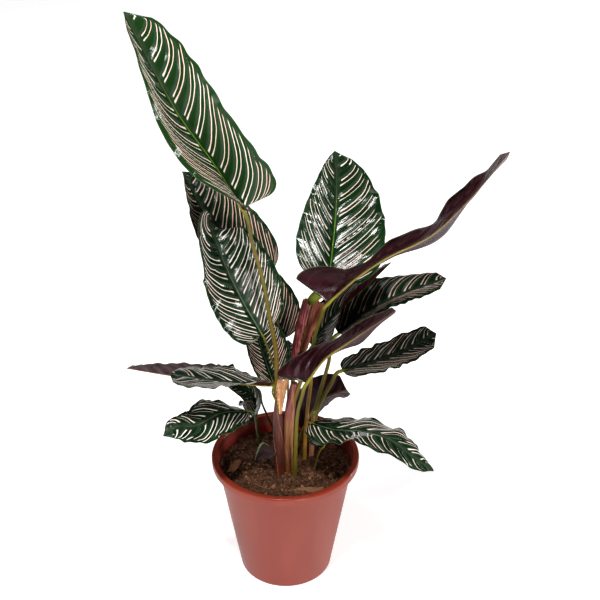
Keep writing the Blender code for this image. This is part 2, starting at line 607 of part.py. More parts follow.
def hole_for(points, radii):
    """A slanting cutter round the buried foot of a stem, a little wider and deeper than it."""
    path = smooth_path(points, np.linspace(0, 1, 25)) * CM
    foot = path[0]
    buried = [p for p in path if p[2] < SOIL_LEVEL + 0.012]
    out = buried[-1] if len(buried) > 1 else path[1]
    heading = normalised(out - foot)
    bend = max((np.linalg.norm(np.cross(p - foot, heading)) for p in buried), default=0.0)
    radius = max(radii[0], radii[1]) + bend + GAP * 2
    low = foot - heading * GAP * 2
    high = foot + heading * (np.linalg.norm(out - foot) + 0.008)
    points = [tuple(low / CM), tuple((low + high) / 2 / CM), tuple(high / CM)]
    return make_tube("hole", points, [radius / math.cos(math.pi / 12)] * 2,
                     principled("hole", SOIL_BROWN, 1.0),
                     steps=2, sides=12)


def main():
    clear_scene()
    leaf_faces = (principled("leaf_green", GREEN, 0.35), principled("leaf_purple", PURPLE, 0.5))
    stalk = principled("stalk", OLIVE, 0.5)
    make_pot(principled("pot_plastic", TERRACOTTA, 0.4))
    make_soil(principled("potting_soil", SOIL_BROWN, 0.95))
    make_stems(principled("stem", STEM_BROWN, 0.5))
    for key in single_stalks():
        make_tube("stalk_" + key, stalk_points(key), stalk_radii(key), stalk)
    for name, leaf in LEAVES.items():
        make_blade(name, leaf, leaf_faces)
    red = principled("sheath_red", SHEATH_RED, 0.6)
    tan = principled("sheath_tan", SHEATH_TAN, 0.7)
    dark = principled("sheath_dark", PURPLE, 0.8)
    for (name, sheath), finish in zip(SHEATHS.items(), (red, tan, dark)):
        make_blade(name, sheath, (finish, finish), rib=0.0)


main()
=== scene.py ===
"""A pinstripe calathea in its nursery pot: striped blades, stalks, sheathed stems, pot and soil."""

import math

import bmesh
import bpy
import numpy as np
from mathutils import Matrix, Vector, noise


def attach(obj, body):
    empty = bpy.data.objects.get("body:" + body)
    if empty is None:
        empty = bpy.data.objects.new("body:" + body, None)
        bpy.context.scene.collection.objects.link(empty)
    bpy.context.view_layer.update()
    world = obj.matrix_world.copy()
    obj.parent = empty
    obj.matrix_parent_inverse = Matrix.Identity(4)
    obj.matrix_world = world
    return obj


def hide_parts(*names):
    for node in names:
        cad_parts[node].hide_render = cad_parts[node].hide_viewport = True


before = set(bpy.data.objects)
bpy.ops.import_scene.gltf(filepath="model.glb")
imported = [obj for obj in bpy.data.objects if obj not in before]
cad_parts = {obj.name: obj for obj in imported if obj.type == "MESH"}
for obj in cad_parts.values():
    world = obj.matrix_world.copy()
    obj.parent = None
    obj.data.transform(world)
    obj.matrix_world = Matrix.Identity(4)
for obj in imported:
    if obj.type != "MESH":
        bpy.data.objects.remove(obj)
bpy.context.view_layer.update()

CM = 0.01
MM = 0.001
TURN = 2 * math.pi

# The pot, in metres
POT_HEIGHT = 0.156
RIM_RADIUS = 0.085
RIM_INNER_RADIUS = 0.0773
RIM_DEPTH = 0.011
BODY_TOP_RADIUS = 0.0775
BASE_RADIUS = 0.053
POT_WALL = 0.0015
POT_FLOOR = 0.0025
POT_SEGMENTS = 176
FOOT_RECESS = 0.0012
DRAIN_RADIUS = 0.005
DRAIN_CIRCLE = 0.034
DRAIN_COUNT = 6

# The soil, in metres
SOIL_LEVEL = 0.140
SOIL_SLOPE = -0.09
SOIL_LUMP = 0.0011
SOIL_GRIT = 0.0024
SOIL_EDGE = BODY_TOP_RADIUS - POT_WALL - 0.0006
SOIL_FOOT = 0.118
SOIL_FOOT_RADIUS = 0.070
SOIL_RINGS = 90
SOIL_SIDES = 260
CRUMBS = 3200
LARGE_CRUMBS = 60
FIBRES = 170

# Large lumps of soil: their place, length and depth in centimetres, and their turn in degrees.
CLODS = ((2.8, -5.4, 4.6, 0.9, 6), (-5.9, -0.6, 2.3, 0.9, 62), (5.4, -2.4, 1, 0.7, 40))
CLOD_HEIGHT = 0.7
CLOD_SHADE = 1.1

# Blades and sheaths, in metres. Rows run across a blade and crowd at its ends. The quilting is a share of
# the distance between side veins, which counts up to a span in millimetres.
BLADE_THICKNESS = 0.0005
BASE_HALF_WIDTH = 0.0016
BLADE_ROWS = 130
ROW_CROWDING = 0.55
ACROSS = (0.012, 0.03, 0.055) + tuple(np.linspace(0.09, 1, 18))
BEND_AT = 0.7
CORNER_EASE = 0.35
SHOULDER = 0.93
PAIR_SHIFT = 0.45
QUILT_DEPTH = 0.12
QUILT_SPAN = 14
GROOVE_DEPTH = 0.0004
GROOVE_WIDTH = 0.0013
RIB_HEIGHT = 0.0011
RIB_WIDTH = 0.0014
FINE_RIPPLE = 0.0007
SHEATH_THICKNESS = 0.0004
CRUMPLE = 0.0004
RAGGED_END = 0.0035

# Stalks, in metres. Their step and the length that runs on under the midrib are in centimetres.
STALK_RADIUS = 0.0022
STALK_TAPER = (1.25, 1, 0.85)
WINGED_TAPER = (1.25, 1.1, 1, 1, 1, 1.3, 2.6, 0.85)
FULL = 1
THIN = 0.55
COLLAR = 0.004
STALK_GAP = 0.0006
STALK_STEP = 0.35
UNDERLAP = 1.6

# The studio: each softbox has its place, target, size and brightness, and the camera looks down by its dip.
SOFTBOXES = (("overhead", (-0.2, -0.9, 2.37), (0.05, 0, 0.3), 0.3, 120),
             ("front_right", (0.95, -2.3, 1), (0, 0, 0.35), 0.3, 71),
             ("right", (2.2, 0.75, 0.62), (0, 0, 0.4), 0.27, 90),
             ("low", (0.5, -1.15, 0.12), (-0.06, 0, 0.38), 0.13, 70),
             ("left", (-1.9, -1.5, 1.5), (0, 0, 0.3), 1.4, 4.9),
             ("behind", (0.3, 1.5, 2.7), (0, 0.3, 0), 1.2, 2.8))
CAMERA_PLACE = (0.0168, -1.2894, 1.1339)
CAMERA_DIP = 30.94

# Each blade: its midrib from base to tip in centimetres, the way its face looks (azimuth 0 is towards the
# viewer, 90 to the viewer's right; then elevation), its width, where along it is widest and how full its
# outline is. left and right give the rise of each half from the plane across the midrib, in degrees: at the
# midrib, two thirds out and at the margin. A width or lean with two values has one for each half.
LEAVES = dict(
    tall_left=dict(
        midrib=[(-4.2, -2.5, 48.4), (-6.8, -3, 53.5), (-10.2, -3, 59), (-12.8, -2.5, 64.3),
                (-15, -1.4, 68.7)],
        face=[(35, 25), (12, 25), (25, 25), (38, 25)], width=9.8, widest=0.3, fullness=(0.45, 0.14),
        taper=(0.72, 0.42),
        left=[(80, 80, 80), (68, 70, 60), (56, 58, 32), (52, 54, 22), (51, 53, 22), (52, 54, 38),
              (40, 44, 48)],
        right=[(36, 34, 32), (47, 45, 41), (41, 39, 36), (24, 22, 20), (15, 12, 10)],
        wave=(0.2, 6), lobe=0.4, scallop=(0.03, 0.18, 8), pairs=10.5, lean=(3, 1.75), sweep=0.54,
        blush=0.4, fresh=0.9),
    upper_left=dict(
        midrib=[(-1.5, 4, 37.3), (-5.3, 5, 40), (-8.6, 6, 43.6), (-10.9, 6.5, 48.2)],
        face=[(10, 20), (15, 20), (40, 20)], width=8.5, widest=0.4, fullness=0.4,
        left=[(45, 48, 50)], right=[(20, 15, 10)], wave=(0.2, 6), pairs=9, blush=0.7),
    front_left=dict(
        midrib=[(-2.5, 0, 31.8), (-4.4, 0.2, 35.6), (-6.4, 0.6, 40.4), (-7.6, 1.5, 43.9), (-7.8, 3, 44)],
        face=[(25, 25), (25, 25), (40, 25)], width=9.8, widest=0.42, fullness=0.38,
        left=[(28, 33, 38)], right=[(20, 12, 5)], wave=(0.15, 5), pairs=8.8, blush=0.25),
    behind_left=dict(
        midrib=[(-0.2, 4.5, 28.3), (-1.7, 5.5, 31.2), (-3.7, 6.5, 35.5), (-4.7, 7, 39.6)],
        face=[(5, 20), (5, 25)], width=7.3, widest=0.32, fullness=0.45,
        left=[(30, 30, 30)], right=[(25, 18, 10)], wave=(0.2, 5), pairs=8.4, blush=0.9),
    under_left=dict(
        midrib=[(-1.3, 1.3, 24.3), (-2.2, 2, 27), (-3, 2.5, 30), (-3.4, 2.8, 33.1)],
        face=[(0, 25), (0, 25)], width=6.3, widest=0.5, fullness=0.45,
        left=[(62, 64, 66)], right=[(20, 15, 10)], pairs=8),
    level_left=dict(
        midrib=[(-1.7, -2.8, 26.9), (-4.8, -4.2, 28.1), (-8.3, -4.6, 28.9), (-12.3, -4.3, 29.5)],
        face=[(0, 85), (0, 90)], width=7.5, widest=0.45, fullness=0.38, taper=0.25,
        left=[(45, 45, 45), (38, 38, 38), (24, 20, 17), (18, 16, 14)],
        right=[(-8, -9, -10), (2, -1, -4), (-14, -17, -20), (-16, -20, -26)],
        wave=(0.2, 6), pairs=5.2, lean=(2.6, 2.2), blush=0.3, dim=0.2),
    rolled_left=dict(
        midrib=[(-3.7, 4, 21.9), (-8, 3, 23.6), (-12.7, 1.5, 25.3), (-17.5, 0, 27.3)],
        face=[(180, 55), (180, 60)], width=6.5, widest=0.4, fullness=0.45,
        left=[(32, 31, 30)], right=[(25, 22, 20)], wave=(0.1, 5), pairs=9),
    low_left=dict(
        midrib=[(-4.3, -1.5, 22.6), (-7.1, -4, 24), (-9.6, -6.5, 24.2), (-12, -8, 24.9),
                (-12.9, -8.5, 24.3)],
        face=[(0, 75), (-10, 70)], width=5.4, widest=0.45, fullness=0.42, taper=(0.55, 0.85),
        left=[(5, -2, -10), (0, -12, -30)], right=[(-20, -20, -20), (8, 2, -5), (8, 2, -5)], wave=(0.3, 4),
        pairs=6.4, lean=(1.8, 1.7), blush=0),
    small_left=dict(
        midrib=[(-3.4, 3.5, 18.05), (-3.2, 3.1, 20.55), (-4.1, 2.5, 22.55), (-6.8, 1.5, 24.25)],
        face=[(-30, 30), (-10, 60)], width=4.4, widest=0.3, fullness=0.35,
        left=[(15, 10, 5)], right=[(80, 80, 76)], pairs=5.5, lean=2.6, blush=0.4, dim=0.75, calm=0.25),
    low_right=dict(
        midrib=[(3.1, -0.5, 20.2), (5, -2, 20.5), (8.5, -4.5, 22), (11.4, -7, 22.7), (13.9, -8.5, 21.5),
                (16.1, -9, 20)],
        face=[(20, 75), (60, 55)], width=7, widest=0.35, fullness=0.35,
        left=[(-5, -15, -25)], right=[(15, 10, 5)], wave=(0.35, 4.5), pairs=8.4, lean=(2, 1.4), blush=0.2),
    dark_right=dict(
        midrib=[(2, 4.5, 15.6), (3.1, 4, 18.5), (4.7, 3.2, 21.1), (7, 2.5, 22.7)],
        face=[(180, -31), (180, -31)], width=6, widest=0.5, fullness=0.35,
        left=[(70, 65, 60)], right=[(30, 28, 25)], pairs=8),
    level_right=dict(
        midrib=[(6.5, 2.5, 25.3), (10.2, 3.5, 25.9), (12.5, 4.1, 26.4), (14.4, 4.5, 27.2),
                (15.8, 4.8, 27.9),
                (17.1, 5, 28.7)],
        face=[(180, 85), (0, 78)], width=6.2, widest=0.5, fullness=0.28,
        left=[(5, 3, 0), (-8, -10, -12)], right=[(8, 5, 0), (16, 14, 12), (16, 14, 12)], wave=(0.2, 5),
        pairs=7.4, lean=(1.3, 2.4), blush=0.4),
    cupped_right=dict(
        midrib=[(2.4, -4.4, 28.25), (4.3, -5.1, 31.8), (7.05, -6.2, 34.9), (11.45, -7, 39.05)],
        face=[(180, -31), (180, -31)], width=7.8, widest=0.2, fullness=0.08,
        left=[(84, 90, 95), (84, 90, 95), (72, 72, 74), (79, 83, 87), (80, 84, 88)],
        right=[(10, 15, 20), (62, 58, 50), (80, 81, 75), (82, 84, 0), (82, 84, -10), (80, 83, 60),
               (78, 80, 82)],
        wave=(0.12, 4), lobe=2.8, lobe_fade=2.5, pairs=9),
    long_right=dict(
        midrib=[(6, 3.4, 29.7), (8.6, 4.4, 31.4), (11.2, 5.3, 32.5), (13.2, 5.8, 33.3), (18, 6.2, 35.2)],
        face=[(0, 88), (0, 88)], width=8.5, widest=0.45, fullness=0.4, taper=0.35,
        left=[(8, 5, 2), (13, 10, 6), (12, 8, -10), (0, -5, -50), (-5, -8, -30)],
        right=[(35, 30, 20), (35, 30, 20), (38, 34, -20), (34, 28, -70), (25, 15, -30)],
        wave=(0.1, 4), pairs=7, lean=(1.2, 2.6), blush=0.8, dim=0.25),
    inner_right=dict(
        midrib=[(3.1, 3.5, 28), (4.6, 4.5, 30), (6.7, 5.5, 32.1), (8.9, 6, 34.1), (11.8, 6.5, 37.1)],
        face=[(0, 85), (0, 85)], width=7.5, widest=0.35, fullness=0.4,
        left=[(-6, -8, -10), (-8, -10, -12), (-14, -16, -20), (-20, -22, -26)],
        right=[(15, 20, 25), (25, 35, 45), (45, 50, 55), (52, 52, 52), (50, 50, 50)],
        pairs=8.8, blush=0.8, dim=0.4),
    tall_right=dict(
        midrib=[(4.7, -3.2, 37.6), (7.1, -4, 40.7), (10.25, -5.2, 44), (14.8, -6.4, 47.45),
                (17.7, -7.2, 51.2),
                (21.55, -8, 57.25)],
        face=[(180, -31), (180, -31)], width=10, widest=0.16, fullness=0.06,
        left=[(86, 90, 94), (86, 90, 94), (83, 88, 92), (78, 81, 84), (84, 87, 90), (86, 88, 90),
              (76, 77, 78)],
        right=[(0, 0, 0), (75, 75, 75), (86, 88, 60), (85, 88, 0), (82, 86, -60), (80, 84, -30),
               (78, 80, 76),
               (77, 80, 30), (79, 83, -60), (82, 85, -60), (82, 84, 84), (80, 82, 84), (76, 77, 78)],
        lobe=1.4, pairs=12),
    centre=dict(
        midrib=[(4.75, 2.2, 37.1), (5.25, 5.2, 39.9), (5.7, 9.6, 43.8), (5.6, 14.1, 47.1)],
        face=[(24, 50), (24, 45)], width=11.4, widest=0.32, fullness=(0.22, 0.3), taper=(0.86, 0.65),
        left=[(30, 35, 42)], right=[(22, 17, 12)], wave=(0.2, 5), lobe=0.3, pairs=8.4, lean=1.15,
        sweep=0.85, blush=0.25, fresh=0.4),
    hidden_centre=dict(
        midrib=[(0.3, 5.2, 22.2), (0.3, 6, 24.4), (0.3, 6.4, 26.9)],
        face=[(0, 25), (0, 25)], width=2.6, widest=0.45, fullness=0.45,
        left=[(35, 33, 30)], right=[(30, 28, 25)], pairs=5, dim=0.4),
    tiny_right=dict(
        midrib=[(4.1, -0.6, 17.6), (3.4, -0.4, 18.1), (2.7, -0.1, 17.8)],
        face=[(0, 70), (0, 60)], width=2.2, widest=0.4, fullness=0.45,
        left=[(20, 10, 0)], right=[(20, 10, 0)], pairs=4, blush=0, dim=0.5),
)

# Stalks run from the ground or a stem up to the blade of the same name. Each has its tone at its foot and
# at its top, from green (0) through olive to amber (1), its thickness and its points in centimetres.
STALKS = dict(
    tall_left=(0.8, 0.3, FULL, [(-0.75, -1.2, 22.6), (-0.85, -0.95, 26.4), (-0.95, -1.1, 30.4),
        (-1.5, -2.1, 34.9), (-2.2, -2.6, 40.1), (-3.2, -2.6, 44.3)]),
    upper_left=(0.7, 0.5, FULL, [(-0.7, -1, 22.2), (-0.65, 1.7, 24.4), (-0.75, 3.2, 28.4),
        (-0.95, 3.9, 32.9)]),
    front_left=(0.55, 0.15, THIN, [(-0.75, -1.1, 23.4), (-0.85, -0.3, 26.2), (-1.35, -0.2, 28.4),
        (-1.95, -0.1, 30.3)]),
    behind_left=(0.7, 0.4, THIN, [(-0.65, -0.9, 22), (-0.5, 1.8, 24), (-0.35, 3.6, 26.4)]),
    under_left=(0.6, 0.4, FULL, [(-0.7, -1, 21.4), (-0.8, -0.5, 22.6), (-1, 0.2, 23.6)]),
    level_left=(0.5, 0.35, THIN, [(-0.75, -1.3, 22), (-1, -1.7, 24.2), (-1.35, -2.3, 25.7)]),
    centre=(0.6, 0, FULL, [(0.75, -0.7, 23), (0.95, -0.35, 26.4), (1.55, 0.3, 29.6),
        (2.3, 0.8, 33), (2.95, 1.3, 35.3)]),
    tall_right=(0.75, 0.4, FULL, [(0.7, -0.8, 22.4), (1.55, -1.05, 25.6), (2.6, -0.55, 28.6),
        (3.05, -0.5, 30.4), (3.35, -0.8, 32.3), (3.95, -1.7, 35)]),
    low_right=(0.5, 0.45, THIN, [(3.1, 1.9, 16.4), (3.05, 1.2, 17.8), (3, 0.4, 19.2)]),
    level_right=(0.45, 0.3, FULL, [(3.2, 2, 18.2), (4.1, 2.3, 21.3), (5.2, 2.5, 23.4)]),
    long_right=(0.5, 0.3, FULL, [(3.3, 2, 19.6), (4.1, 2.6, 22.7), (4.9, 3, 26)]),
    rolled_left=(0.15, 0.1, THIN, [(-0.7, 4.4, 11.6), (-1.6, 4.4, 16.2), (-2.7, 4.2, 19.5)]),
    low_left=(0.1, 0.05, THIN, [(-1.8, 1.6, 11.8), (-2.4, 0.6, 15.3), (-3.1, -0.7, 18.6)]),
    small_left=(0.05, 0, THIN, [(-2.6, 3.9, 11.8), (-3.1, 3.8, 14.4), (-3.4, 3.6, 16.4)]),
    dark_right=(0.6, 0.4, THIN, [(1.5, 4.6, 11.6), (1.6, 4.6, 13.6)]),
    cupped_right=(0.3, 0.55, FULL, [(1.05, -2.4, 11.8), (1.12, -2.7, 15.5), (1.2, -3.1, 18.8),
        (1.5, -3.6, 24.2), (1.95, -4.1, 26.6)]),
    inner_right=(0.95, 0.85, FULL, [(2.2, 0.7, 11.8), (2.25, 0.95, 16.5), (2.55, 1.3, 21),
        (2.95, 2.2, 24.4)]),
    hidden_centre=(0.4, 0.2, THIN, [(0.2, 3.6, 11.8), (0.2, 4, 16), (0.25, 4.5, 19.6)]),
    tiny_right=(0.35, 0.2, THIN, [(2.9, -1.3, 11.8), (3.4, -1.1, 14.6), (4, -0.8, 16.6)]),
)

# Leafy stems: their path with a radius at each point, in centimetres, how often their sheaths wrap round,
# their finish, with its colours at the foot, in the middle, at the top and in streaks, and their stalks.
STEMS = dict(
    stem_left=dict(
        path=[(-0.65, -1.7, 11.4), (-0.65, -1.6, 14), (-0.72, -1.4, 17.5), (-0.8, -1.2, 21),
              (-0.72, -1.1, 24.2)],
        radii=[0.52, 0.56, 0.55, 0.53, 0.42], folds=3,
        look=("stem_plum", (0.13, 0.022, 0.006), (0.065, 0.018, 0.012), (0.095, 0.030, 0.026),
              (0.16, 0.055, 0.030)),
        stalks=["tall_left", "upper_left", "front_left", "behind_left", "under_left", "level_left"]),
    stem_middle=dict(
        path=[(0.34, -0.95, 11.4), (0.34, -0.9, 14), (0.36, -0.8, 18), (0.56, -0.7, 22),
              (1.05, -0.8, 25.9)],
        radii=[0.48, 0.54, 0.58, 0.55, 0.44], folds=2,
        look=("stem_pink", (0.20, 0.075, 0.018), (0.27, 0.12, 0.060), (0.34, 0.11, 0.10),
              (0.30, 0.21, 0.035)),
        stalks=["centre", "tall_right"]),
    stem_right=dict(
        path=[(3, 2, 11.4), (3, 2, 14.2), (3.1, 2, 17), (3.3, 2, 20.2)],
        radii=[0.3, 0.32, 0.3, 0.26], folds=2,
        look=("stem_tan", (0.34, 0.12, 0.045), (0.46, 0.22, 0.14), (0.30, 0.20, 0.06), (0.40, 0.30, 0.12)),
        stalks=["low_right", "level_right", "long_right"]),
)

# Old leaf sheaths, given like blades, with the colours of their outside, streaks and inside, how wrinkled
# they are, and where the inside shows: on the upper face, along one margin or nowhere.
SHEATHS = dict(
    sheath_red=dict(
        midrib=[(0.8, 0.1, 26), (1.1, 0.75, 28.5), (1.8, 1.4, 32), (2.6, 2.1, 35)],
        face=[(20, 0), (15, 0)], width=5.2, widest=0.85, fullness=0.5, start=0.12, cut=0.92,
        left=[(0, 115, 165)], right=[(0, 115, 165), (0, 100, 145), (0, 75, 115)], inner="face",
        look=((0.065, 0.010, 0.012), (0.27, 0.075, 0.065), (0.50, 0.20, 0.13), 0.8)),
    sheath_tan=dict(
        midrib=[(-0.5, -1.82, 22.4), (-0.4, -1.92, 24.6), (-0.1, -2.15, 27.2)],
        face=[(5, 0), (5, 0)], width=1.4, widest=0.8, fullness=1.1, start=0.02, cut=0.92,
        left=[(0, -20, -35)], right=[(0, -40, -60)], inner="none",
        look=((0.34, 0.155, 0.07), (0.60, 0.37, 0.20), (0.30, 0.13, 0.05), 1.6)),
    sheath_dark=dict(
        midrib=[(-1.7, -1.4, 17.6), (-2.45, -1.55, 16.8), (-3.4, -1.5, 15.7)],
        face=[(0, 25), (0, 35)], width=2.4, widest=0.14, fullness=0.15, taper=1.05,
        left=[(0, 15, 30)], right=[(10, 30, 60)], inner="margin",
        look=((0.014, 0.004, 0.004), (0.034, 0.011, 0.009), (0.20, 0.27, 0.15), 1.8)),
)


# Materials

class Shade:
    """A value that varies over a surface, so that shader maths is written as plain expressions."""

    def __init__(self, finish, socket):
        self.finish = finish
        self.socket = socket

    def maths(self, operation, *values):
        return self.finish.node("ShaderNodeMath", dict(operation=operation), dict(enumerate(values)))

    def __add__(self, other):
        return self.maths("ADD", self, other)

    def __sub__(self, other):
        return self.maths("SUBTRACT", self, other)

    def __rsub__(self, other):
        return self.maths("SUBTRACT", other, self)

    def __mul__(self, other):
        return self.maths("MULTIPLY", self, other)

    __radd__ = __add__
    __rmul__ = __mul__

    def floor(self):
        return self.maths("FLOOR", self)

    def size(self):
        return self.maths("ABSOLUTE", self)

    def wave(self):
        return self.maths("SINE", self * TURN)

    def least(self, other):
        return self.maths("MINIMUM", self, other)

    def most(self, other):
        return self.maths("MAXIMUM", self, other)

    def ease(self, low, high):
        """0 below low, 1 above high, with a smooth rise between."""
        values = {"Value": self, "From Min": low, "From Max": high}
        return self.finish.node("ShaderNodeMapRange", dict(interpolation_type="SMOOTHSTEP"), values)

    def fade(self, low, high):
        """1 below low, 0 above high."""
        return 1 - self.ease(low, high)


class Finish:
    """A material under way: its nodes, the shader that they feed and its colour so far."""

    def __init__(self, name, specular=0.5, grain=False):
        self.material = bpy.data.materials.new(name)
        self.material.use_nodes = True
        self.tree = self.material.node_tree
        self.shader = self.tree.nodes["Principled BSDF"]
        self.set("Specular IOR Level", specular)
        if grain:
            self.place = self.attribute("grain", "Vector")
        else:
            self.place = self.node("ShaderNodeTexCoord", {}, {}, "Object")

    def node(self, kind, settings, values, out=0):
        made = self.tree.nodes.new(kind)
        for key, value in settings.items():
            setattr(made, key, value)
        for key, value in values.items():
            self.feed(made.inputs[key], value)
        return Shade(self, made.outputs[out])

    def feed(self, socket, value):
        if isinstance(value, Shade):
            self.tree.links.new(value.socket, socket)
        elif isinstance(value, tuple) and socket.type == "RGBA":
            socket.default_value = (*value, 1)
        else:
            socket.default_value = value

    def set(self, socket, value):
        self.feed(self.shader.inputs[socket], value)

    def attribute(self, name, out="Fac"):
        return self.node("ShaderNodeAttribute", dict(attribute_name=name), {}, out)

    def attributes(self, names):
        return [self.attribute(name) for name in names.split()]

    def blend(self, factor, one, other):
        """The colour one where factor is 0 and the other where it is 1."""
        return self.node("ShaderNodeMix", dict(data_type="RGBA"), {0: factor, 6: one, 7: other}, 2)

    def ground(self, factor, one, other):
        self.colour = self.blend(factor, one, other)

    def paint(self, factor, colour):
        """Lay a colour over the one so far."""
        self.colour = self.blend(factor, self.colour, colour)

    def chance(self, key):
        """A fixed random number from 0 to 1 for each key."""
        return self.node("ShaderNodeTexWhiteNoise", dict(noise_dimensions="1D"), {"W": key})

    def drift(self, place, detail=2):
        """Smooth random change along a line."""
        values = {"W": place, "Scale": 1, "Detail": detail}
        return self.node("ShaderNodeTexNoise", dict(noise_dimensions="1D"), values)

    def cloud(self, scale, detail=3, rough=0.5, stretch=None):
        """Smooth random change through space, or along the grain."""
        place = self.place
        if stretch:
            place = self.node("ShaderNodeVectorMath", dict(operation="MULTIPLY"), {0: place, 1: stretch})
        values = {"Vector": place, "Scale": scale, "Detail": detail, "Roughness": rough}
        return self.node("ShaderNodeTexNoise", {}, values)

    def bump(self, height, depth, strength):
        values = {"Height": height, "Distance": depth, "Strength": strength}
        self.set("Normal", self.node("ShaderNodeBump", {}, values))

    def done(self, roughness):
        self.set("Base Color", self.colour)
        self.set("Roughness", roughness)
        return self.material


def leaf_upper_finish():
    """Deep green with pairs of pale pink lines along the side veins, a painted grey-green sheen next to each
    pair and along the midrib.
    """
    f = Finish("leaf_upper", 0.16)
    vein, reach, along, spread, rib = f.attributes("vein reach along spread rib")
    kin, blush, fresh, dim = f.attributes("kin blush fresh dim")
    pair = vein.floor()
    key = pair + kin * 37
    wander = f.drift(reach * 3.5 + key * 5.7, 3) - 0.5
    off = (vein - pair - 0.5) * spread + wander * 1.2
    gap = (f.chance(key + 0.3) * 0.5 + 1.9).least(spread * 0.21)

    def pin_line(side, salt):
        """One line of the pair, and how swollen it is near the midrib. Distances are in millimetres."""
        luck = f.chance(key + salt)
        late = f.chance(key + (salt + 0.17))
        begins = late * 3 + late.ease(0.85, 0.9) * 9 + 2.8
        swell = rib.fade(begins, begins + 9)
        width = (0.56 - reach * 0.18) * (luck * 0.45 + 0.8) * (swell * 0.8 + 1)
        width = width.least(spread * 0.075)
        line = (off - gap * side).size().fade(width * 0.5, width * 1.2)
        ends = luck * 0.13 + 0.79
        return line * rib.ease(begins, begins + 0.9) * reach.fade(ends, ends + 0.04), swell

    first, first_swell = pin_line(-1, 0.41)
    second, second_swell = pin_line(1, 0.67)
    lines = first.most(second)
    swell = (first * first_swell).most(second * second_swell)

    f.ground(f.cloud(60).ease(0.35, 0.7), (0.003, 0.013, 0.005), (0.006, 0.028, 0.009))
    f.paint(fresh, (0.015, 0.047, 0.011))
    # Painted sheen: a grey-green stripe on the tip side of each pair, and a fainter one on its base side,
    # stand in for light caught by the tilted quilting.
    painted_sheen = off.ease(gap + 0.1, gap + 1.5) * off.fade(gap + 3, gap + 5.2)
    painted_sheen = painted_sheen.most((off + gap + 1.6).size().fade(0.3, 1.6) * 0.35)
    painted_sheen = painted_sheen * reach.fade(0.86, 0.98) * (f.drift(reach * 9 + key) * 0.7 + 0.6)
    f.paint(painted_sheen * 0.5, (0.055, 0.088, 0.062))
    # Painted sheen along both sides of the midrib, fading in from a quarter of the way up the blade.
    painted_midrib_sheen = rib.fade(2, 6) * along.ease(0.25, 0.5)
    f.paint(painted_midrib_sheen * 0.45, (0.050, 0.070, 0.045))
    pink = (f.chance(key + 0.23) * 0.5 + blush).ease(0.2, 1.1) * (1 - swell * 0.6)
    f.paint(lines, f.blend(pink, (0.93, 0.84, 0.76), (0.82, 0.50, 0.43)))
    young = f.blend(fresh.ease(0.2, 0.4), (0.10, 0.15, 0.085), (0.14, 0.27, 0.03))
    f.paint(rib.fade(0.5, 1.1), f.blend(along.ease(0.35, 0.8), young, (0.045, 0.070, 0.035)))
    f.paint(reach.ease(0.975, 0.995) * 0.7, (0.075, 0.12, 0.05))
    # Painted shade: blades that sit under or behind others are darkened as a whole, lines and midrib too.
    f.paint(dim, (0.004, 0.012, 0.006))
    f.bump((vein * 9).wave() * 0.4 + f.cloud(420, 4, 0.6) * 2, 0.00015, 0.22)
    return f.done(f.cloud(140).ease(0.3, 0.7) * 0.05 + 0.07 + lines * 0.1)


def leaf_under_finish():
    """Burgundy with a grey bloom, faint raised side veins and an olive midrib."""
    f = Finish("leaf_under", 0.22)
    vein, reach, along, rib, kin = f.attributes("vein reach along rib kin")
    pair = vein.floor()
    bloom = f.cloud(45, 4)
    f.ground(bloom.ease(0.35, 0.75), (0.022, 0.003, 0.006), (0.046, 0.011, 0.016))
    ghost = (vein - pair - 0.5).size().fade(0.02, 0.16) * (f.chance(pair + kin * 37) * 0.5 + 0.3)
    f.paint(ghost * 0.4, (0.075, 0.032, 0.038))
    f.paint(rib.fade(1, 2), f.blend(along.ease(0.35, 0.9), (0.27, 0.22, 0.055), (0.12, 0.055, 0.035)))
    f.paint(reach.ease(0.965, 0.985) * 0.8, (0.11, 0.15, 0.085))
    f.bump((vein * 9).wave() * 0.5 + vein.wave() * 2.2, 0.0003, 0.8)
    return f.done(bloom.ease(0.3, 0.7) * 0.14 + 0.25)


def leaf_edge_finish():
    f = Finish("leaf_edge")
    f.ground(f.cloud(200), (0.05, 0.08, 0.03), (0.10, 0.07, 0.05))
    return f.done(0.5)


def stalk_finish():
    """Fleshy stalk: amber or olive low down, greener above and yellow-green in its thick upper joint."""
    f = Finish("stalk", 0.3, grain=True)
    tone, joint = f.attributes("tone joint")
    streak = f.cloud(900, 4, stretch=(1, 1, 0.12))
    ripe = tone + (streak - 0.5) * 0.5
    f.ground(ripe.ease(0, 0.4), (0.018, 0.040, 0.009), (0.110, 0.090, 0.010))
    f.paint(ripe.ease(0.5, 0.95), (0.24, 0.13, 0.02))
    f.paint(joint, (0.34, 0.38, 0.015))
    f.paint(f.cloud(2600, 1).ease(0.66, 0.72) * 0.5, (0.11, 0.035, 0.02))
    f.bump(streak, 0.0003, 0.5)
    return f.done(streak * 0.2 + 0.3)


def stem_finish(name, foot, middle, top, vivid):
    """Overlapping sheaths round a stem, streaked lengthwise, with a painted shade line where each sheath's
    edge laps over the next.
    """
    f = Finish(name, 0.3, grain=True)
    along, overlap = f.attributes("along overlap")
    streak = f.cloud(620, 4, 0.6, (1, 1, 0.06))
    patch = f.cloud(130, stretch=(1, 1, 0.35))
    level = along + (patch - 0.5) * 0.35
    f.ground(level.ease(0.08, 0.4), foot, middle)
    f.paint(level.ease(0.5, 0.9), top)
    f.paint(streak.ease(0.52, 0.72), vivid)
    f.paint(streak.fade(0.3, 0.5), (0.055, 0.016, 0.016))
    # Painted shade just past each sheath's edge, where it overhangs the sheath beneath.
    f.paint(overlap.fade(0, 0.05) * 0.8, (0.03, 0.012, 0.010))
    f.paint(overlap.ease(0.90, 0.98) * 0.5, (0.55, 0.32, 0.18))
    f.bump(streak + patch * 0.5, 0.0006, 0.6)
    return f.done(patch * 0.25 + 0.3)


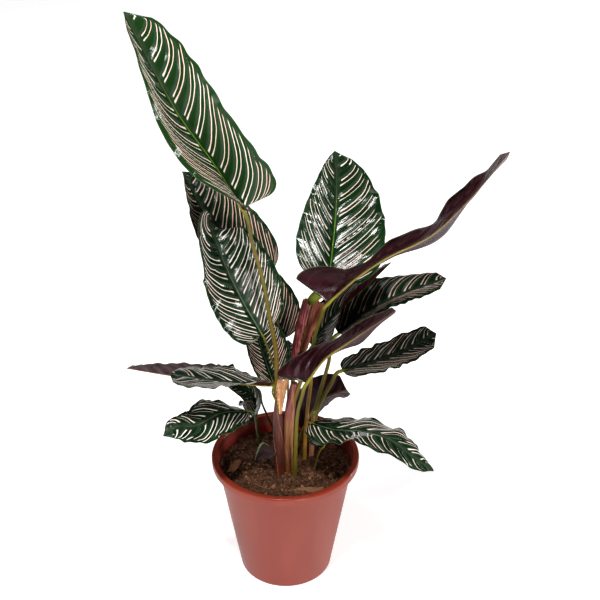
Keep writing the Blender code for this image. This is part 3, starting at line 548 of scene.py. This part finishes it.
def sheath_finish(name, outer, streaks, inner, wrinkles):
    """Papery sheath, streaked lengthwise and wrinkled across."""
    f = Finish(name, 0.3, grain=True)
    streak = f.cloud(700, 4, 0.6, (1, 1, 0.05))
    patch = f.cloud(110)
    f.ground((streak + (patch - 0.5) * 0.4).ease(0.48, 0.66), outer, streaks)
    f.paint(f.attribute("inner"), f.blend(streak.ease(0.4, 0.7), inner, streaks))
    crease = f.cloud(420, stretch=(0.35, 1, 1.6))
    f.bump(streak * 0.6 + crease * wrinkles, 0.0006, 0.7)
    return f.done(patch * 0.2 + 0.42)


def pot_finish():
    """Satin terracotta-coloured plastic with fine dark flecks; painted shade deepens the red of the rim's top
    face and painted bounced light reddens the inside.
    """
    f = Finish("pot_plastic", 0.25)
    height = f.node("ShaderNodeSeparateXYZ", {}, {"Vector": f.place}, "Z")
    haze = f.cloud(26, 4, stretch=(1, 1, 0.25))
    f.ground(haze.ease(0.3, 0.7), (0.188, 0.041, 0.029), (0.212, 0.051, 0.036))
    # Painted shade: the top face of the rim is painted a deeper red. The same mask also lowers the roughness
    # there.
    rim = height.ease(POT_HEIGHT - 0.0035, POT_HEIGHT - 0.0012)
    f.paint(rim, (0.215, 0.036, 0.019))
    # Painted bounced light: the inside wall is painted a more saturated red.
    f.paint(f.attribute("inside"), (0.20, 0.020, 0.013))
    flecks = f.cloud(820, 1).ease(0.70, 0.76) * 0.6 * f.cloud(35).ease(0.4, 0.6)
    f.paint(flecks, (0.10, 0.03, 0.02))
    dust = f.cloud(300, 4).ease(0.62, 0.8) * height.fade(0, 0.03)
    f.paint(dust * 0.5, (0.30, 0.17, 0.12))
    rings = f.cloud(700, 2, stretch=(0.05, 0.05, 1))
    f.bump(rings * 0.35 + f.cloud(1500, 2) * 0.4, 0.00012, 0.6)
    return f.done(haze * 0.16 + 0.40 - rim * 0.22)


def soil_finish(name, dark, light, scale):
    """Moist potting soil: dark brown crumbs with reddish ones and pale fibre."""
    f = Finish(name, 0.3)
    lumps = f.cloud(scale, 6, 0.7)
    f.ground((lumps + (f.attribute("shade") - 0.5) * 0.5).ease(0.35, 0.72), dark, light)
    f.paint(f.cloud(1700, 2).ease(0.62, 0.72) * 0.5, (0.22, 0.12, 0.075))
    f.bump(lumps + f.cloud(2200) * 0.5, 0.0012, 0.9)
    return f.done(0.9)


def floor_finish():
    f = Finish("studio_floor", 0)
    f.set("Emission Color", (1, 1, 1))
    f.set("Emission Strength", 0.42)
    f.ground(f.cloud(1.3, 2), (0.93, 0.93, 0.93), (0.96, 0.96, 0.96))
    return f.done(0.8)


# Shared curves and meshes

def normalised(vectors):
    return vectors / np.linalg.norm(vectors, axis=-1, keepdims=True)


def spans(points):
    """The distance from each point to the next."""
    return np.linalg.norm(np.diff(points, axis=0), axis=1)


def run_along(points):
    """How far along the path each point lies."""
    return np.concatenate([[0], np.cumsum(spans(points))])


def way(azimuth, elevation):
    """Unit vector that looks to the viewer at azimuth 0 and to the viewer's right at 90."""
    a = math.radians(azimuth)
    e = math.radians(elevation)
    return np.array([math.sin(a) * math.cos(e), -math.cos(a) * math.cos(e), math.sin(e)])


def circle(radius, count):
    turns = [TURN * k / count for k in range(count)]
    return [(radius * math.cos(t), radius * math.sin(t)) for t in turns]


def smooth_path(points, shares):
    """Points at these shares of the length of the smooth curve through the given points."""
    given = np.array(points, float)
    gaps = spans(given)
    slopes = np.diff(given, axis=0) / gaps[:, None]
    weights = gaps[1:] / (gaps[1:] + gaps[:-1])
    turns = slopes[:-1] * weights[:, None] + slopes[1:] * (1 - weights[:, None])
    headings = np.vstack([slopes[:1], turns, slopes[-1:]])
    fine = []
    for a, b, m, n, gap in zip(given, given[1:], headings, headings[1:], gaps):
        for t in np.linspace(0, 1, 40, endpoint=False):
            curve = a * (2 * t**3 - 3 * t**2 + 1) + b * (3 * t**2 - 2 * t**3)
            fine.append(curve + gap * (m * (t**3 - 2 * t**2 + t) + n * (t**3 - t**2)))
    fine = np.array(fine + [given[-1]])
    run = run_along(fine)
    wanted = np.asarray(shares) * run[-1]
    return np.stack([np.interp(wanted, run, fine[:, axis]) for axis in range(3)], axis=-1)


def along_rows(rows, u):
    """Values at u of rows that are spread evenly from base to tip, with their corners eased."""
    rows = np.array(rows, float)
    if len(rows) == 1:
        return np.repeat(rows, len(u), axis=0)
    stations = np.linspace(0, 1, len(rows))
    offsets = np.linspace(-1, 1, 9) * CORNER_EASE / (len(rows) - 1)
    eased = 0
    for offset in offsets:
        at = np.clip(u + offset * np.sin(math.pi * u), 0, 1)
        eased = eased + np.stack([np.interp(at, stations, column) for column in rows.T], axis=-1)
    return eased / len(offsets)


def half_section(angles, reach):
    """Sideways run and rise, per unit of half width, of a half blade at a fraction of its reach."""
    samples = 24
    across = np.zeros(len(angles))
    rise = np.zeros(len(angles))
    for k in range(samples):
        q = reach * (k + 0.5) / samples
        if q < BEND_AT:
            angle = angles[:, 0] + (angles[:, 1] - angles[:, 0]) * q / BEND_AT
        else:
            angle = angles[:, 1] + (angles[:, 2] - angles[:, 1]) * (q - BEND_AT) / (1 - BEND_AT)
        across += np.cos(angle) * reach / samples
        rise += np.sin(angle) * reach / samples
    return across, rise


def one_side(value, side):
    return value[side] if isinstance(value, tuple) else value


def both_sides(across):
    """Fractions of the way from the midrib (0) to the left margin (-1) and the right one (1), in order."""
    return np.array([-q for q in reversed(across)] + [0] + list(across))


def blade_outline(leaf, u, side):
    """Half width in metres from base to tip, left (0) or right (1), and its share of the greatest."""
    peak = leaf["widest"]
    base_power = one_side(leaf["fullness"], side)
    tip_power = one_side(leaf.get("taper", base_power * (1 - peak) / peak), side)

    def width_at(share):
        return (share / peak) ** base_power * ((1 - share) / (1 - peak)) ** tip_power

    start = leaf.get("start", 0)
    share = start + (leaf.get("cut", 1) - start) * u
    point = width_at(SHOULDER) * np.clip((1 - share) / (1 - SHOULDER), 0, None) ** 1.1
    outline = width_at(share)
    outline = np.where(share > SHOULDER, np.minimum(outline, point), outline)
    least = BASE_HALF_WIDTH * (1 - 0.6 * u)
    return least + (leaf["width"] * CM / 2 - least) * outline, outline


def blade_surface(leaf, u, across, ripple_seed):
    """Middle surface of a blade in metres, base to tip by left margin to right, and its two half widths."""
    spine = smooth_path(leaf["midrib"], u) * CM
    tangent = normalised(np.gradient(spine, u, axis=0))
    face = along_rows([way(*look) for look in leaf["face"]], u)
    normal = normalised(face - (face * tangent).sum(axis=1, keepdims=True) * tangent)
    side = np.cross(tangent, normal)
    widths, outlines = zip(*[blade_outline(leaf, u, side) for side in (0, 1)])
    amount, count = leaf.get("wave", (0, 1))
    depths = leaf.get("scallop", (0.05, 0.05, 8))
    back = leaf.get("lobe", 0) * CM * (1 - u) ** leaf.get("lobe_fade", 5)
    calm = np.sqrt(np.sin(math.pi * u)) * leaf.get("calm", 1)
    columns = []
    for reach in both_sides(across):
        q = abs(reach)
        half = int(reach > 0)
        run, rise = half_section(np.radians(along_rows(leaf[("left", "right")[half]], u)), q)
        phase = ripple_seed + (0 if reach < 0 else 2.1)
        drift = 0.9 * np.sin(TURN * 1.7 * u + 2.3 * phase)
        swell = 0.75 + 0.25 * np.sin(TURN * 2.3 * u + 1.9 * phase)
        ripple = amount * CM * q**2 * np.sin(TURN * count * u + phase + drift) * calm * swell
        fine = FINE_RIPPLE * q**4 * np.sin(TURN * 11 * u + 1.3 * phase + drift) * calm
        depth = depths[0 if reach < 0 else 1]
        scallop = depth * CM * q**4 * np.sin(TURN * depths[2] * u + 2 * phase - drift) * calm * swell
        offset = math.copysign(1, reach) * (widths[half] * run + scallop * run)[:, None] * side
        lift = (widths[half] * rise + ripple + fine)[:, None] * normal
        columns.append(spine + offset + lift - (back * outlines[half] * q * q)[:, None] * tangent)
    return np.stack(columns, axis=1), np.stack(widths, axis=1)


def surface_normals(grid):
    rows, columns = np.gradient(grid, axis=(0, 1))
    return normalised(np.cross(columns, rows))


def vein_field(leaf, u, reach, grid):
    """The number of the side vein at each point, counted from the base, and the millimetres to the next."""
    lean = leaf.get("lean", 1.5)
    sweep = leaf.get("sweep", 0.7)
    length = spans(grid[:, grid.shape[1] // 2]).sum()
    field = np.zeros(grid.shape[:2])
    for side in (0, 1):
        meets = np.linspace(1e-4, 1, 400)
        starts = meets - one_side(lean, side) * blade_outline(leaf, meets, side)[0] / length
        first = len(starts) - np.argmax(starts[::-1] <= 0) - 1
        meets = np.concatenate([[meets[first] - 0.6], meets[first:]])
        starts = np.concatenate([[starts[first] - 0.6], starts[first:]])
        for j, q in enumerate(reach):
            if (j > len(reach) // 2) == side:
                out = sweep * q + (1 - sweep) * q**3
                field[:, j] = np.interp(u, starts + (meets - starts) * out, starts)
    field *= leaf["pairs"]
    along, across = np.gradient(grid, axis=(0, 1))
    rise, slant = np.gradient(field)
    aa = (along * along).sum(-1)
    ac = (along * across).sum(-1)
    cc = (across * across).sum(-1)
    steep = (rise**2 * cc - 2 * rise * slant * ac + slant**2 * aa) / np.maximum(aa * cc - ac**2, 1e-18)
    return field, 1000 / np.sqrt(np.maximum(steep, 1))


def new_mesh(name, points, faces):
    mesh = bpy.data.meshes.new(name)
    mesh.from_pydata(points, [], faces)
    return mesh


def add_object(name, data):
    added = bpy.data.objects.new(name, data)
    bpy.context.scene.collection.objects.link(added)
    return added


def finished_piece(mesh, materials, replaced, values, sharp=0.9):
    """Dress a mesh with finishes and the values they read, and hide the solids that it stands in for."""
    for material in materials:
        mesh.materials.append(material)
    for name, numbers in values.items():
        numbers = np.asarray(numbers, np.float32)
        kind, field = ("FLOAT_VECTOR", "vector") if numbers.ndim == 2 else ("FLOAT", "value")
        mesh.attributes.new(name, kind, "POINT").data.foreach_set(field, numbers.ravel())
    mesh.shade_smooth()
    mesh.set_sharp_from_angle(angle=sharp)
    piece = add_object(mesh.name, mesh)
    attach(piece, "root")
    if replaced:
        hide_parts(*replaced)


def sheet_mesh(name, upper, under):
    """A closed thin solid between two grids of points, with its upper faces, under faces and edge."""
    rows, columns = upper.shape[:2]
    count = rows * columns
    index = np.arange(count).reshape(rows, columns)
    a, b, c, d = index[:-1, :-1], index[1:, :-1], index[1:, 1:], index[:-1, 1:]
    top = np.stack([a, d, c, b], axis=-1).reshape(-1, 4)
    low = np.stack([a, b, c, d], axis=-1).reshape(-1, 4) + count
    loop = np.concatenate([index[:, 0], index[-1, 1:], index[-2::-1, -1], index[0, -2:0:-1]])
    after = np.roll(loop, -1)
    edge = np.stack([after, loop, loop + count, after + count], axis=-1)
    points = np.concatenate([upper.reshape(-1, 3), under.reshape(-1, 3)])
    mesh = new_mesh(name, points.tolist(), np.concatenate([top, low, edge]).tolist())
    slots = np.repeat([0, 1, 2], [len(top), len(low), len(edge)])
    mesh.polygons.foreach_set("material_index", slots.astype(np.int32))
    return mesh


def lathe_faces(rings, sides):
    """Faces of a closed turned solid whose points are one pole, these rings and the other pole."""
    faces = [(0, 1 + k, 1 + (k + 1) % sides) for k in range(sides)]
    last = 1 + (rings - 1) * sides
    for low in range(1, last, sides):
        high = low + sides
        faces += [(low + k, high + k, high + (k + 1) % sides, low + (k + 1) % sides) for k in range(sides)]
    return faces + [(last + sides, last + (k + 1) % sides, last + k) for k in range(sides)]


class Tubes:
    """Closed round tubes gathered into one mesh, with the values their finish reads."""

    def __init__(self):
        self.points = []
        self.faces = []
        self.values = {}

    def keep(self, name, numbers):
        self.values.setdefault(name, []).append(numbers)

    def add(self, points, radii, steps, sides, shape=None, **rows):
        """radii and rows are spread evenly from end to end; shape(turns, share) scales the radius."""
        shares = np.linspace(0, 1, steps + 1)
        fine = smooth_path(points, np.linspace(0, 1, 4 * steps + 1)) * CM
        path = fine[::4]
        tangents = normalised(np.gradient(fine, axis=0))[::4]
        radius = np.interp(shares, np.linspace(0, 1, len(radii)), radii)
        turns = np.arange(sides) * TURN / sides
        cosines = np.cos(turns)
        sines = np.sin(turns)
        base = len(self.points)
        first = np.array([1, 0, 0])
        for centre, tangent, r, share in zip(path, tangents, radius, shares):
            first = normalised(first - (first @ tangent) * tangent)
            second = np.cross(tangent, first)
            reach = r * (shape(turns, share) if shape else np.ones(sides))
            ring = centre + reach[:, None] * (cosines[:, None] * first + sines[:, None] * second)
            self.points += [tuple(p) for p in ring]
        index = np.arange((steps + 1) * sides).reshape(steps + 1, sides) + base
        low, high = index[:-1], index[1:]
        quads = np.stack([low, np.roll(low, -1, 1), np.roll(high, -1, 1), high], axis=-1).reshape(-1, 4)
        self.faces += quads.tolist() + [list(index[0][::-1]), list(index[-1])]
        for name, given in dict(rows, along=[0, 1]).items():
            self.keep(name, np.repeat(np.interp(shares, np.linspace(0, 1, len(given)), given), sides))
        thick = np.repeat(radius, sides)
        grain = [np.tile(cosines, steps + 1) * thick, np.tile(sines, steps + 1) * thick,
                 np.repeat(run_along(path), sides)]
        self.keep("grain", np.stack(grain, -1) + base * 0.0007)
        return np.tile(turns, steps + 1), np.repeat(shares, sides)

    def finished(self, name, finish, replaced, sharp=0.9):
        mesh = new_mesh(name, self.points, self.faces)
        values = {key: np.concatenate(parts) for key, parts in self.values.items()}
        finished_piece(mesh, [finish], replaced, values, sharp)


# The plant

def make_blade(name, leaf, kin, finishes):
    """A blade with quilted panels between its side veins, a midrib sunk above and raised below."""
    t = np.linspace(0, 1, BLADE_ROWS)
    u = t - ROW_CROWDING * np.sin(TURN * t) / TURN
    grid, half_width = blade_surface(leaf, u, ACROSS, kin)
    normals = surface_normals(grid)
    signed = both_sides(ACROSS)
    reach = np.abs(signed)
    right = signed > 0
    field, spread = vein_field(leaf, u, reach, grid)
    field[:, right] += PAIR_SHIFT
    rib = half_width[:, right.astype(int)] * reach
    calm = np.clip(np.sin(math.pi * u), 0, 1)[:, None] ** 0.5 * np.clip(reach * 6, 0, 1)
    panel = np.floor(field + 0.5) + 17 * kin + 5 * right
    puff = 0.55 + 0.9 * ((np.sin(panel * 12.9898) * 43758.5453) % 1)
    pillow = np.sqrt(np.sin(math.pi * (field - 0.5)) ** 2 + 0.01)
    depth = np.minimum(spread, QUILT_SPAN) * QUILT_DEPTH * MM
    quilt = depth * puff * (pillow - 0.6) * calm * (1 - reach**6)
    groove = GROOVE_DEPTH * np.exp(-(rib / GROOVE_WIDTH) ** 2)
    stand = RIB_HEIGHT * (1 - 0.75 * u)[:, None] * np.exp(-(rib / RIB_WIDTH) ** 2)
    thin = BLADE_THICKNESS / 2 * (1 - 0.4 * reach**4)
    upper = grid + normals * (thin + quilt - groove)[..., None]
    under = grid - normals * (thin - quilt + stand)[..., None]
    mesh = sheet_mesh("leaf_" + name, upper, under)
    values = dict(vein=field, reach=reach, along=u[:, None], spread=spread, rib=rib / MM, kin=2 * kin + right,
                  blush=leaf.get("blush", 0.5), fresh=leaf.get("fresh", 0.15), dim=leaf.get("dim", 0))
    for key, numbers in values.items():
        values[key] = np.tile(np.broadcast_to(numbers, field.shape).ravel(), 2)
    finished_piece(mesh, finishes, ["blade_" + name], values, sharp=1.1)


def stalk_course(key):
    """The stalk's points in centimetres, up to its blade and on under the start of the midrib."""
    midrib = LEAVES[key]["midrib"]
    length = spans(midrib).sum()
    spots = smooth_path(midrib, [0, 0.03, 0.6 / length, UNDERLAP / length])
    heading = normalised(spots[1] - spots[0])
    face = way(*LEAVES[key]["face"][0])
    below = -normalised(face - (face @ heading) * heading)
    end = spots[0] - heading * STALK_GAP / CM
    upper = [end - heading * COLLAR / CM, end, spots[2] + below * 0.10, spots[3] + below * 0.12]
    return STALKS[key][3] + [tuple(spot) for spot in upper]


def add_stalk(tubes, key):
    """A stalk with its thicker joint below the blade. The centre leaf's stalk is winged and brighter."""
    foot_tone, top_tone, scale, _ = STALKS[key]
    winged = key == "centre"
    taper = WINGED_TAPER if winged else STALK_TAPER
    points = stalk_course(key)
    length = spans(points).sum()
    shares = np.linspace(0, 1, 41)
    left = (1 - shares) * length
    stations = np.linspace(0, length - UNDERLAP, len(taper))
    joint = np.clip(1 - np.abs(left - 2.2) / 1.2, 0, 1)
    radius = STALK_RADIUS * scale * np.interp(shares * length, stations, taper)
    radius = radius * (1 + 0.16 * joint) * np.clip(left / 1.5, 0.16, 1) ** 0.7
    bright = np.clip(1.25 - left / (4.5 if winged else 2.6), 0, 1) * (1 if winged else 0.4)
    tone = foot_tone + (top_tone - foot_tone) * shares
    tubes.add(points, radius, int(length / STALK_STEP) + 8, 16, tone=tone, joint=bright)


def make_stems(stalk):
    """Each stem as wrapped sheaths round its core, and the stalks that leave it as a second piece."""
    for name, stem in STEMS.items():
        folds = stem["folds"]
        begin = folds * 1.3

        def wrap(turn, share):
            return (turn * folds / TURN + 0.35 * np.sin(3 * share + begin) + 0.8 * share) % 1

        def fluted(turns, share):
            overlap = wrap(turns, share)
            closing = np.clip((1 - share) * 6, 0, 1)
            return (1 + 0.05 * np.cos(2 * turns + 4 * share + begin) + 0.10 * (overlap - 0.5) * closing
                    + 0.02 * np.sin(9 * turns + 14 * share)) * (0.75 + 0.25 * closing**0.5)

        tubes = Tubes()
        radii = [r * CM for r in stem["radii"]]
        tubes.keep("overlap", wrap(*tubes.add(stem["path"], radii, 90, 72, shape=fluted)))
        tubes.finished(name + "_sheaths", stem_finish(*stem["look"]), [name], sharp=1.2)
        tubes = Tubes()
        for key in stem["stalks"]:
            add_stalk(tubes, key)
        tubes.finished(name + "_stalks", stalk, [name])


def make_single_stalks(stalk):
    grown = [key for stem in STEMS.values() for key in stem["stalks"]]
    for key in STALKS:
        if key not in grown:
            tubes = Tubes()
            add_stalk(tubes, key)
            tubes.finished("fine_stalk_" + key, stalk, ["stalk_" + key])


def make_sheaths():
    """Old sheaths: crumpled papery sheets with a ragged end."""
    across = tuple(np.linspace(0.05, 1, 20))
    signed = both_sides(across)
    u = np.linspace(0, 1, 90)
    for name, sheath in SHEATHS.items():
        grid, half_width = blade_surface(sheath, u, across, 0)
        normals = surface_normals(grid)
        rough = np.array([[noise.fractal(Vector(p) * 180, 1, 2, 3) for p in row] for row in grid])
        ragged = np.array([noise.noise(Vector((q * 6, 3.1, half_width[-1, 0] * 900))) for q in signed])
        heading = normalised(grid[-1] - grid[-4])
        grid[-8:] += (np.linspace(0, 1, 8)[:, None, None] * ragged[None, :, None] * RAGGED_END) * heading
        body = grid + normals * (rough * CRUMPLE)[..., None]
        skin = normals * (SHEATH_THICKNESS / 2)
        mesh = sheet_mesh("old_" + name, body + skin, body - skin)
        length = spans(grid[:, 20]).sum()
        grain = np.stack(np.broadcast_arrays(half_width[:, :1] * signed, 0.01, u[:, None] * length), -1)
        margin = np.broadcast_to(np.clip(signed * 5 - 3.2, 0, 1), grid.shape[:2]).ravel()
        plain = np.zeros(margin.size)
        inner = dict(face=[plain + 1, plain], margin=[margin, margin], none=[plain, plain])[sheath["inner"]]
        values = dict(grain=np.tile(grain.reshape(-1, 3), (2, 1)), inner=np.concatenate(inner))
        finished_piece(mesh, [sheath_finish(name, *sheath["look"])] * 3, [name], values, sharp=1.2)


# The pot and its soil

def rounded_outline(corners):
    """A closed outline of (radius, height) points from corners given with the radius of their rounding."""
    outline = []
    for k, (r, z, rounding) in enumerate(corners):
        here = np.array([r, z])
        before = np.array(corners[k - 1][:2]) - here
        after = np.array(corners[(k + 1) % len(corners)][:2]) - here
        if rounding == 0:
            outline.append(tuple(here))
            continue
        one = before / np.linalg.norm(before)
        two = after / np.linalg.norm(after)
        half = math.acos(np.clip(one @ two, -1, 1)) / 2
        back = min(rounding / math.tan(half), 0.48 * np.linalg.norm(before), 0.48 * np.linalg.norm(after))
        for t in np.linspace(0, 1, 7):
            outline.append(tuple((1 - t) ** 2 * (here + one * back) + 2 * t * (1 - t) * here
                                 + t**2 * (here + two * back)))
    return outline


def make_pot():
    """The moulded shell, turned from its outline, with drain holes cut through its floor."""
    step = POT_HEIGHT - RIM_DEPTH
    flare = BODY_TOP_RADIUS - BASE_RADIUS
    corners = [(0, FOOT_RECESS, 0), (0.04, FOOT_RECESS, 0.001), (0.0415, 0, 0.0008), (BASE_RADIUS, 0, 0.004),
               (BASE_RADIUS + flare * 0.08, step * 0.08, 0), (BODY_TOP_RADIUS, step, 0.0006),
               (RIM_RADIUS - 0.0035, step, 0.0012), (RIM_RADIUS - 0.0006, step + 0.002, 0.001),
               (RIM_RADIUS, POT_HEIGHT, 0.0030), (RIM_INNER_RADIUS, POT_HEIGHT, 0.0022),
               (RIM_INNER_RADIUS, step + 0.002, 0.002), (BODY_TOP_RADIUS - POT_WALL, step - 0.004, 0.002),
               (BASE_RADIUS - POT_WALL, POT_FLOOR, 0.004), (0, POT_FLOOR, 0)]
    outline = rounded_outline(corners)
    points = [(0, 0, outline[0][1])]
    for radius, height in outline[1:-1]:
        points += [(x, y, height) for x, y in circle(radius, POT_SEGMENTS)]
    points.append((0, 0, outline[-1][1]))
    faces = [face[::-1] for face in lathe_faces(len(outline) - 2, POT_SEGMENTS)]
    shell = add_object("pot_blank", new_mesh("pot_blank", points, faces))
    bm = bmesh.new()
    for k in range(DRAIN_COUNT):
        turn = TURN * (k + 0.4) / DRAIN_COUNT
        place = Vector((math.cos(turn), math.sin(turn), 0)) * DRAIN_CIRCLE
        bmesh.ops.create_cone(bm, cap_ends=True, segments=32, radius1=DRAIN_RADIUS, radius2=DRAIN_RADIUS,
                              depth=0.012, matrix=Matrix.Translation(place))
    holes = bpy.data.meshes.new("drain_holes")
    bm.to_mesh(holes)
    bm.free()
    cutter = add_object("drain_holes", holes)
    cut = shell.modifiers.new("drain_holes", "BOOLEAN")
    cut.operation = "DIFFERENCE"
    cut.object = cutter
    graph = bpy.context.evaluated_depsgraph_get()
    mesh = bpy.data.meshes.new_from_object(shell.evaluated_get(graph))
    mesh.name = "pot_shell"
    for spare in (cutter, shell):
        bpy.data.objects.remove(spare)
    # Where the inside wall is, for the painted bounced light in pot_finish.
    inside = []
    for v in mesh.vertices:
        wall = min(BASE_RADIUS + flare * min(v.co.z / step, 1), RIM_INNER_RADIUS + 0.001)
        inside.append(v.co.z > 0.002 and math.hypot(v.co.x, v.co.y) < wall - 0.0007)
    finished_piece(mesh, [pot_finish()], ["pot"], dict(inside=inside), sharp=0.5)


def soil_height(x, y):
    """Lumpy surface that rises towards the viewer."""
    lumps = math.sin(95 * x + 1.3) * math.sin(110 * y + 0.4) + 0.6 * math.sin(210 * x - 150 * y + 2)
    rough = noise.fractal(Vector((x, y, 0.3)) * 120, 0.9, 2.1, 5)
    return SOIL_LEVEL + SOIL_SLOPE * y + SOIL_LUMP * lumps + SOIL_GRIT * rough


def make_soil_bed():
    """The rough surface of the soil, down to the pot's wall and below its edge."""
    points = [(0, 0, soil_height(0, 0))]
    for ring in range(1, SOIL_RINGS + 1):
        share = ring / SOIL_RINGS
        spots = circle(SOIL_EDGE * share**0.8, SOIL_SIDES)
        points += [(x, y, soil_height(x, y) + 0.0015 * share**8) for x, y in spots]
    points += [(x, y, SOIL_FOOT) for x, y in circle(SOIL_FOOT_RADIUS, SOIL_SIDES)]
    points.append((0, 0, SOIL_FOOT))
    mesh = new_mesh("soil_bed", points, lathe_faces(SOIL_RINGS + 1, SOIL_SIDES))
    finish = soil_finish("potting_soil", (0.042, 0.017, 0.009), (0.17, 0.078, 0.038), 240)
    values = dict(shade=np.full(len(points), 0.5))
    finished_piece(mesh, [finish], ["soil"], values, sharp=3)


def ball(subdivisions):
    """Points and faces of a ball of radius 1."""
    bm = bmesh.new()
    bmesh.ops.create_icosphere(bm, subdivisions=subdivisions, radius=1)
    points = np.array([v.co[:] for v in bm.verts])
    faces = np.array([[v.index for v in face.verts] for face in bm.faces])
    bm.free()
    return points, faces


def laid(lump, turn, x, y, rise):
    """The points of a lump, turned about the upright axis and laid on the soil."""
    spin = np.array([[math.cos(turn), -math.sin(turn), 0], [math.sin(turn), math.cos(turn), 0], [0, 0, 1]])
    return lump @ spin.T + np.array([x, y, soil_height(x, y) + rise])


def random_spot(rng, margin):
    """A place on the soil, at least this far from its edge."""
    r = (SOIL_EDGE - margin) * math.sqrt(rng.random())
    t = TURN * rng.random()
    return r * math.cos(t), r * math.sin(t)


def make_crumbs(rng):
    """Loose crumbs all over the soil and a few large clods, in one piece."""
    fine = ball(1)
    coarse = ball(2)
    lumps = []
    for k in range(CRUMBS):
        x, y = random_spot(rng, 0.002)
        size = 0.0004 + 0.0011 * rng.random() ** 4 + (0.0022 * rng.random() if k < LARGE_CRUMBS else 0)
        points, faces = coarse if size > 0.0011 else fine
        knobs = np.array([noise.noise(Vector(p * 1.9) + Vector((k * 1.7, 0, 0))) for p in points])
        lump = points * (1 + 0.55 * knobs)[:, None] * size * rng.uniform(0.6, 1.3, 3)
        lumps.append((laid(lump, rng.uniform(0, TURN), x, y, size * 0.35), faces, rng.random()))
    points, faces = ball(5)
    for k, (x, y, length, depth, angle) in enumerate(CLODS):
        knobs = np.array([noise.fractal(Vector(p * 2.4 + k), 0.7, 2.1, 5) for p in points])
        lump = points * (1 + 0.35 * knobs)[:, None] * np.array([length, depth, CLOD_HEIGHT]) * CM / 2
        lumps.append((laid(lump, math.radians(angle), x * CM, y * CM, 0), faces, CLOD_SHADE))
    sizes = [len(points) for points, _, _ in lumps]
    starts = np.cumsum([0] + sizes)
    points = np.concatenate([points for points, _, _ in lumps])
    faces = np.concatenate([faces + start for (_, faces, _), start in zip(lumps, starts)])
    mesh = new_mesh("soil_crumbs", points.tolist(), faces.tolist())
    finish = soil_finish("soil_crumb", (0.040, 0.018, 0.010), (0.26, 0.13, 0.07), 500)
    values = dict(shade=np.repeat([shade for _, _, shade in lumps], sizes))
    finished_piece(mesh, [finish], [], values, sharp=3)


def make_fibres(rng):
    """Bits of root and fibre lying on the soil, every fourth with one end in the air."""
    tubes = Tubes()
    for k in range(FIBRES):
        middle = np.array(random_spot(rng, 0.006))
        heading = rng.uniform(0, TURN)
        reach = rng.uniform(0.003, 0.009)
        bend = rng.uniform(-0.3, 0.3)
        course = []
        for s in (-1, 0, 1):
            angle = heading + bend * s
            spot = middle + s * reach * np.array([math.cos(angle), math.sin(angle)])
            spot *= min(1, (SOIL_EDGE - 0.002) / max(np.linalg.norm(spot), 1e-6))
            height = soil_height(*spot) + 0.0007 + (0.0015 if s == 1 and k % 4 == 0 else 0)
            course.append((spot[0] / CM, spot[1] / CM, height / CM))
        thick = rng.uniform(0.00018, 0.00055)
        tubes.add(course, [thick * 0.6, thick, thick * 0.5], 6, 6, shade=[rng.random()] * 2)
    finish = soil_finish("soil_fibre", (0.08, 0.038, 0.02), (0.24, 0.14, 0.07), 400)
    tubes.finished("soil_fibres", finish, [])


# The studio

def make_studio():
    """A pale floor that fills the view, soft lights and the camera of the photograph."""
    corners = [(-7, -5, 0), (7, -5, 0), (7, 9, 0), (-7, 9, 0)]
    mesh = new_mesh("studio_floor", corners, [(0, 1, 2, 3)])
    mesh.materials.append(floor_finish())
    floor = add_object("studio_floor", mesh)
    world = bpy.data.worlds.new("studio")
    world.use_nodes = True
    sky = world.node_tree.nodes["Background"]
    sky.inputs["Color"].default_value = (1, 1, 1, 1)
    sky.inputs["Strength"].default_value = 0.08
    for name, place, target, size, brightness in SOFTBOXES:
        light = bpy.data.lights.new("softbox_" + name, "AREA")
        light.shape = "SQUARE"
        light.size = size
        light.energy = brightness * math.pi * size**2
        lamp = add_object("softbox_" + name, light)
        lamp.location = place
        lamp.rotation_euler = (Vector(target) - Vector(place)).to_track_quat("-Z", "Y").to_euler()
    eye = bpy.data.cameras.new("camera")
    eye.lens = 84
    eye.sensor_width = 36
    eye.clip_end = 50
    camera = add_object("camera", eye)
    camera.location = CAMERA_PLACE
    camera.rotation_euler = (math.radians(90 - CAMERA_DIP), 0, 0)
    scene = bpy.context.scene
    scene.world = world
    scene.camera = camera
    scene.view_settings.view_transform = "Standard"
    scene.view_settings.look = "Medium High Contrast"


def main():
    finishes = [leaf_upper_finish(), leaf_under_finish(), leaf_edge_finish()]
    for kin, (name, leaf) in enumerate(LEAVES.items(), 1):
        make_blade(name, leaf, kin, finishes)
    stalk = stalk_finish()
    make_stems(stalk)
    make_single_stalks(stalk)
    make_sheaths()
    make_pot()
    make_soil_bed()
    rng = np.random.default_rng(11)
    make_crumbs(rng)
    make_fibres(rng)
    make_studio()


main()
